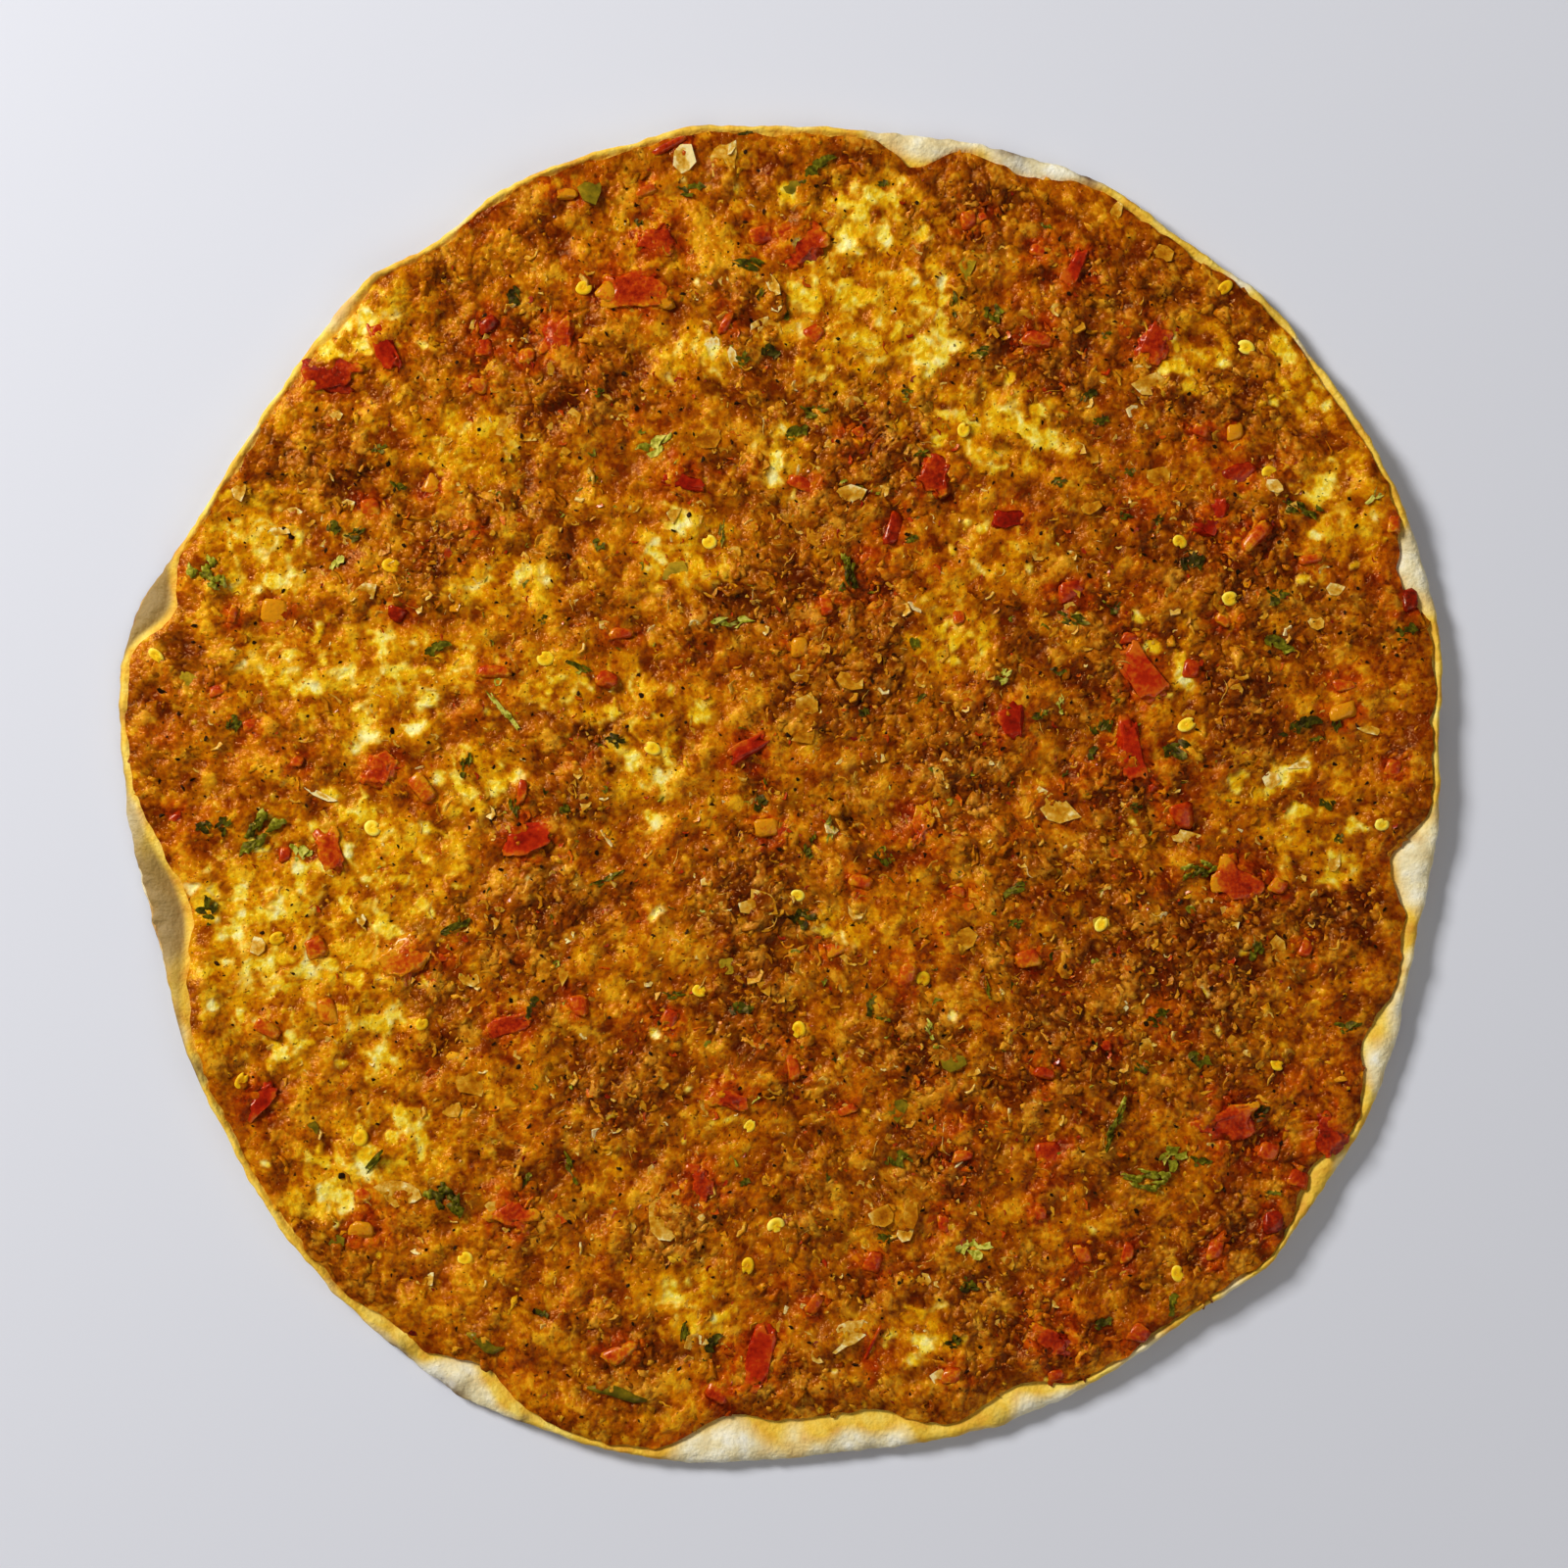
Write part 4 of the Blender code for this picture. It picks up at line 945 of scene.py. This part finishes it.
def place_bits(
    name, bits, usual_tone, shapes, height, material, slot, draped=False, rim=0.0, fuller=1.0, crisp=True,
):
    """The small pieces placed one by one, their tone and turn filled in where a row leaves them out.

    Their lengths and widths are made fuller by one factor, and their rims paler by the amount rim.
    """
    rows = [(*bit, *(usual_tone, 0)[len(bit) - 4:]) for bit in bits]
    x, y, length, width, tone, turn = np.array(rows, float).T
    length, width = length * fuller, width * fuller
    rng = np.random.default_rng(len(bits))
    x, y = x * MM, y * MM
    level, looks = topping(x, y)
    thick = height * MM * np.clip((length + width) / 8.0, 0.5, 1.2)
    spots = {
        **looks,
        "x": x,
        "y": y,
        "level": level,
        "sizes": np.column_stack((length * MM, width * MM, thick)),
        "tints": tone,
        "lift": 0.08 * thick,
        "turns": np.radians(turn) + rng.uniform(-0.5, 0.5, len(x)),
        "tilts": rng.uniform(-0.25, 0.25, len(x)),
    }
    return joined(name, shapes, spots, material, slot, draped, rim, crisp)


def make_scattered(paste):
    pulp, onion, leaf = tomato_flesh(), onion_flesh(), parsley_leaf()
    husk, flake = ground_pepper(), chilli_flake()
    grains = shapes_of(lump, 5, 1, 1.3, 0.75)
    lumps = shapes_of(lump, 14, 1, 0.9, 0.8)
    clusters = shapes_of(lump, 9, 2, 1.2, 0.8)
    chips = shapes_of(chip, 9, 6, 0.25)
    scraps = shapes_of(leaflet, 7, 6, 0.6, 0.15)
    strands = shapes_of(strand, 6, 0.06)
    # Share of the places that get a piece: anywhere, and what rich and what oily mince add to it
    everywhere, heaped, rare = (0.4, 0.5, -0.3), (0.1, 0.9, -0.3), (0.35, 0.0, 0.1)
    # Name, number of places, smallest and largest size in millimetres, share, tone, most pieces kept, how
    # much of each is sunk in the paste, and its shapes, material and slot
    for kind in (
        ("crumbs_small", 8000, 1.1, 2.0, everywhere, 0.55, 3600, 0.25, lumps, paste, "mince"),
        ("crumbs_medium", 8500, 1.7, 3.2, heaped, 0.55, 4200, 0.3, lumps, paste, "mince"),
        ("crumbs_coarse", 4000, 2.8, 4.8, heaped, 0.5, 2100, 0.32, clusters, paste, "mince"),
        ("pulp_shreds", 3800, 0.9, 2.8, rare, 0.75, 900, 0.1, chips, pulp, "tomato"),
        ("onion_shreds", 5200, 1.2, 3.8, rare, 0.6, 1500, 0.1, chips, onion, "onion"),
        ("onion_threads", 2200, 1.6, 3.8, rare, 0.6, 420, 0.02, strands, onion, "onion"),
        ("leaf_scraps", 900, 1.2, 2.6, rare, 0.6, 170, 0.1, scraps, leaf, "parsley"),
        ("black_pepper", 3400, 0.5, 1.1, rare, 0.4, 1100, 0.0, grains, husk, "mince"),
        ("chilli_flakes", 1500, 0.7, 1.8, rare, 0.5, 500, 0.1, chips, flake, "red_pepper"),
    ):
        scatter(*kind)
    blocks = shapes_of(cut_block, 12, 0.14, 1)
    place_bits("red_bits", RED_BITS, 0.5, blocks, 1.3, pulp, "tomato", rim=0.3, crisp=False)
    sprigs = shapes_of(sprig, 9, 4, 8, 0.5, 0.12)
    place_bits("green_bits", GREEN_BITS, 0.4, sprigs, 1.1, leaf, "parsley", draped=True, fuller=1.1)
    green_chips, pale_chips = shapes_of(chip, 5, 7, 0.4), shapes_of(chip, 10, 7, 0.35)
    green_pepper = green_pepper_flesh()
    place_bits("olive_bits", OLIVE_BITS, 0.5, green_chips, 1.0, green_pepper, "green_pepper", rim=0.2)
    place_bits("pale_bits", PALE_BITS, 0.6, pale_chips, 1.1, onion, "onion", rim=0.42)
    seeds = [
        (x, y, 3.8 - 0.3 * (number % 4), 3.4 - 0.4 * (number % 3), 0.3 + 0.1 * (number % 5), 40 * number)
        for number, (x, y) in enumerate(SEEDS)
    ]
    place_bits("seeds", seeds, 0.5, shapes_of(seed, 5), 1.6, pepper_seed(), "red_pepper", rim=0.5)
    place_bits("dark_specks", DARK_SPECKS, 0.2, grains, 1.4, husk, "mince")
    place_bits("dark_flakes", DARK_FLAKES, 0.1, chips, 0.9, flake, "red_pepper")


# Cut vegetables that have solids of their own

# Finish, slot and height, and for the blocks how blunt their edges are and how deep their wrinkles, both as
# shares of the size
CUT_FINISHES = {
    "tomato": (tomato_flesh, "tomato", 1.4 * MM, 0.13, 0.26),
    "pepper": (red_pepper_skin, "red_pepper", 1.2 * MM, 0.09, 0.17),
    "green_pepper": (green_pepper_flesh, "green_pepper", 1.6 * MM),
    "onion": (onion_flesh, "onion", 1.6 * MM),
    "parsley": (parsley_leaf, "parsley", 1.1 * MM),
}


def dress_cut(name, kind, place, size, turn, tone, number, finish):
    """The dressed piece for one solid: a block, a chip, a strip or a sprig, settled into the mince."""
    material, slot, height, *cutting = finish
    bm = bmesh.new()
    if kind == "parsley":
        sprig(bm, number, 10, 12, 0.6, 0.1)
    elif kind == "onion":
        chip(bm, number, 12, 0.28)
    elif kind == "green_pepper":
        strand(bm, number % 3 + 2, 0.34)
    else:
        blunt, wrinkle = cutting
        cut_block(bm, number, blunt, 2)
        bmesh.ops.subdivide_edges(bm, edges=bm.edges, cuts=2, use_grid_fill=True)
        bm.normal_update()
        for vert in bm.verts:
            bump = noise.noise(vert.co * 3.2 + Vector((0, number, 0))) + 0.6 * noise.noise(vert.co * 8)
            vert.co += vert.normal * wrinkle * bump
    mesh = mesh_from(bm, name + "_dressed")
    unit = places_of(mesh)
    spots = unit * (size[0], size[1], height) @ np.array(Matrix.Rotation(turn, 3, "Z")).T
    spots[:, 0] += place[0]
    spots[:, 1] += place[1]
    if kind == "parsley":
        spots[:, 2] += topping(spots[:, 0], spots[:, 1])[0] + 0.15 * MM
    else:
        around = np.append(spots[:, 0], place[0]), np.append(spots[:, 1], place[1])
        spots[:, 2] += np.percentile(topping(*around)[0], 60) - 0.02 * height
    out = 2.0 * np.hypot(unit[:, 0], unit[:, 1])
    move_to(mesh, spots)
    # Painted shade: darker towards the foot and lighter towards the top, with a paler rim
    note(mesh, "tone_and_shade", tone + 0.3 * unit[:, 2] + 0.3 * (out**2 - 0.4))
    return piece_from(mesh, name + "_dressed", material, slot, name, crisp="onion" in kind)


def dress_cuts():
    finishes = {kind: (make(), *rest) for kind, (make, *rest) in CUT_FINISHES.items()}
    counts = {}
    for number, (kind, x, y, length, width, turn, tone) in enumerate(CUTS):
        counts[kind] = counts.get(kind, 0) + 1
        name = f"{kind}_{counts[kind]:02d}"
        size = (length * MM, width * MM)
        dress_cut(name, kind, (x * MM, y * MM), size, math.radians(turn), tone, number, finishes[kind])


# Stage

def make_floor():
    bm = bmesh.new()
    bmesh.ops.create_grid(bm, x_segments=1, y_segments=1, size=5.0)
    bmesh.ops.translate(bm, verts=bm.verts, vec=(0, 0, -0.1 * MM))
    mesh = mesh_from(bm, "floor")
    material = new_material("matt_white_board")
    mesh.materials.append(finish_with(material, {"Base Color": linear("#DBDCE3"), "Roughness": 0.9}))
    floor = bpy.data.objects.new("floor", mesh)
    bpy.context.scene.collection.objects.link(floor)


def light_studio():
    """A large soft lamp at the upper left, and a pale surround that fills the shadows."""
    for name, place, size, energy in (
        ("key", (-1.0, 0.72, 0.92), 0.42, 26.0),
        ("fill", (0.9, -0.7, 1.2), 1.2, 5.0),
    ):
        light = bpy.data.lights.new(name, "AREA")
        light.size = size
        light.energy = energy
        lamp = bpy.data.objects.new(name, light)
        lamp.location = place
        lamp.rotation_mode = "QUATERNION"
        lamp.rotation_quaternion = lamp.location.to_track_quat("Z", "Y")
        bpy.context.scene.collection.objects.link(lamp)
    world = bpy.data.worlds.new("surround")
    world.use_nodes = True
    world.node_tree.nodes["Background"].inputs["Color"].default_value = linear("#F4F2EE")
    world.node_tree.nodes["Background"].inputs["Strength"].default_value = 0.16
    bpy.context.scene.world = world
    bpy.context.scene.view_settings.view_transform = "Standard"


def make_camera():
    lens = bpy.data.cameras.new("camera")
    lens.lens = LENS
    lens.sensor_width = SENSOR
    camera = bpy.data.objects.new("camera", lens)
    camera.location = (*PICTURE_CENTRE, PICTURE_WIDTH * LENS / SENSOR + 4 * MM)
    bpy.context.scene.collection.objects.link(camera)
    bpy.context.scene.camera = camera


make_camera()
light_studio()
make_floor()
make_dough(baked_dough())
paste = spiced_paste()
for quarter in range(4):
    make_paste_quarter(quarter, paste)
make_scattered(paste)
dress_cuts()
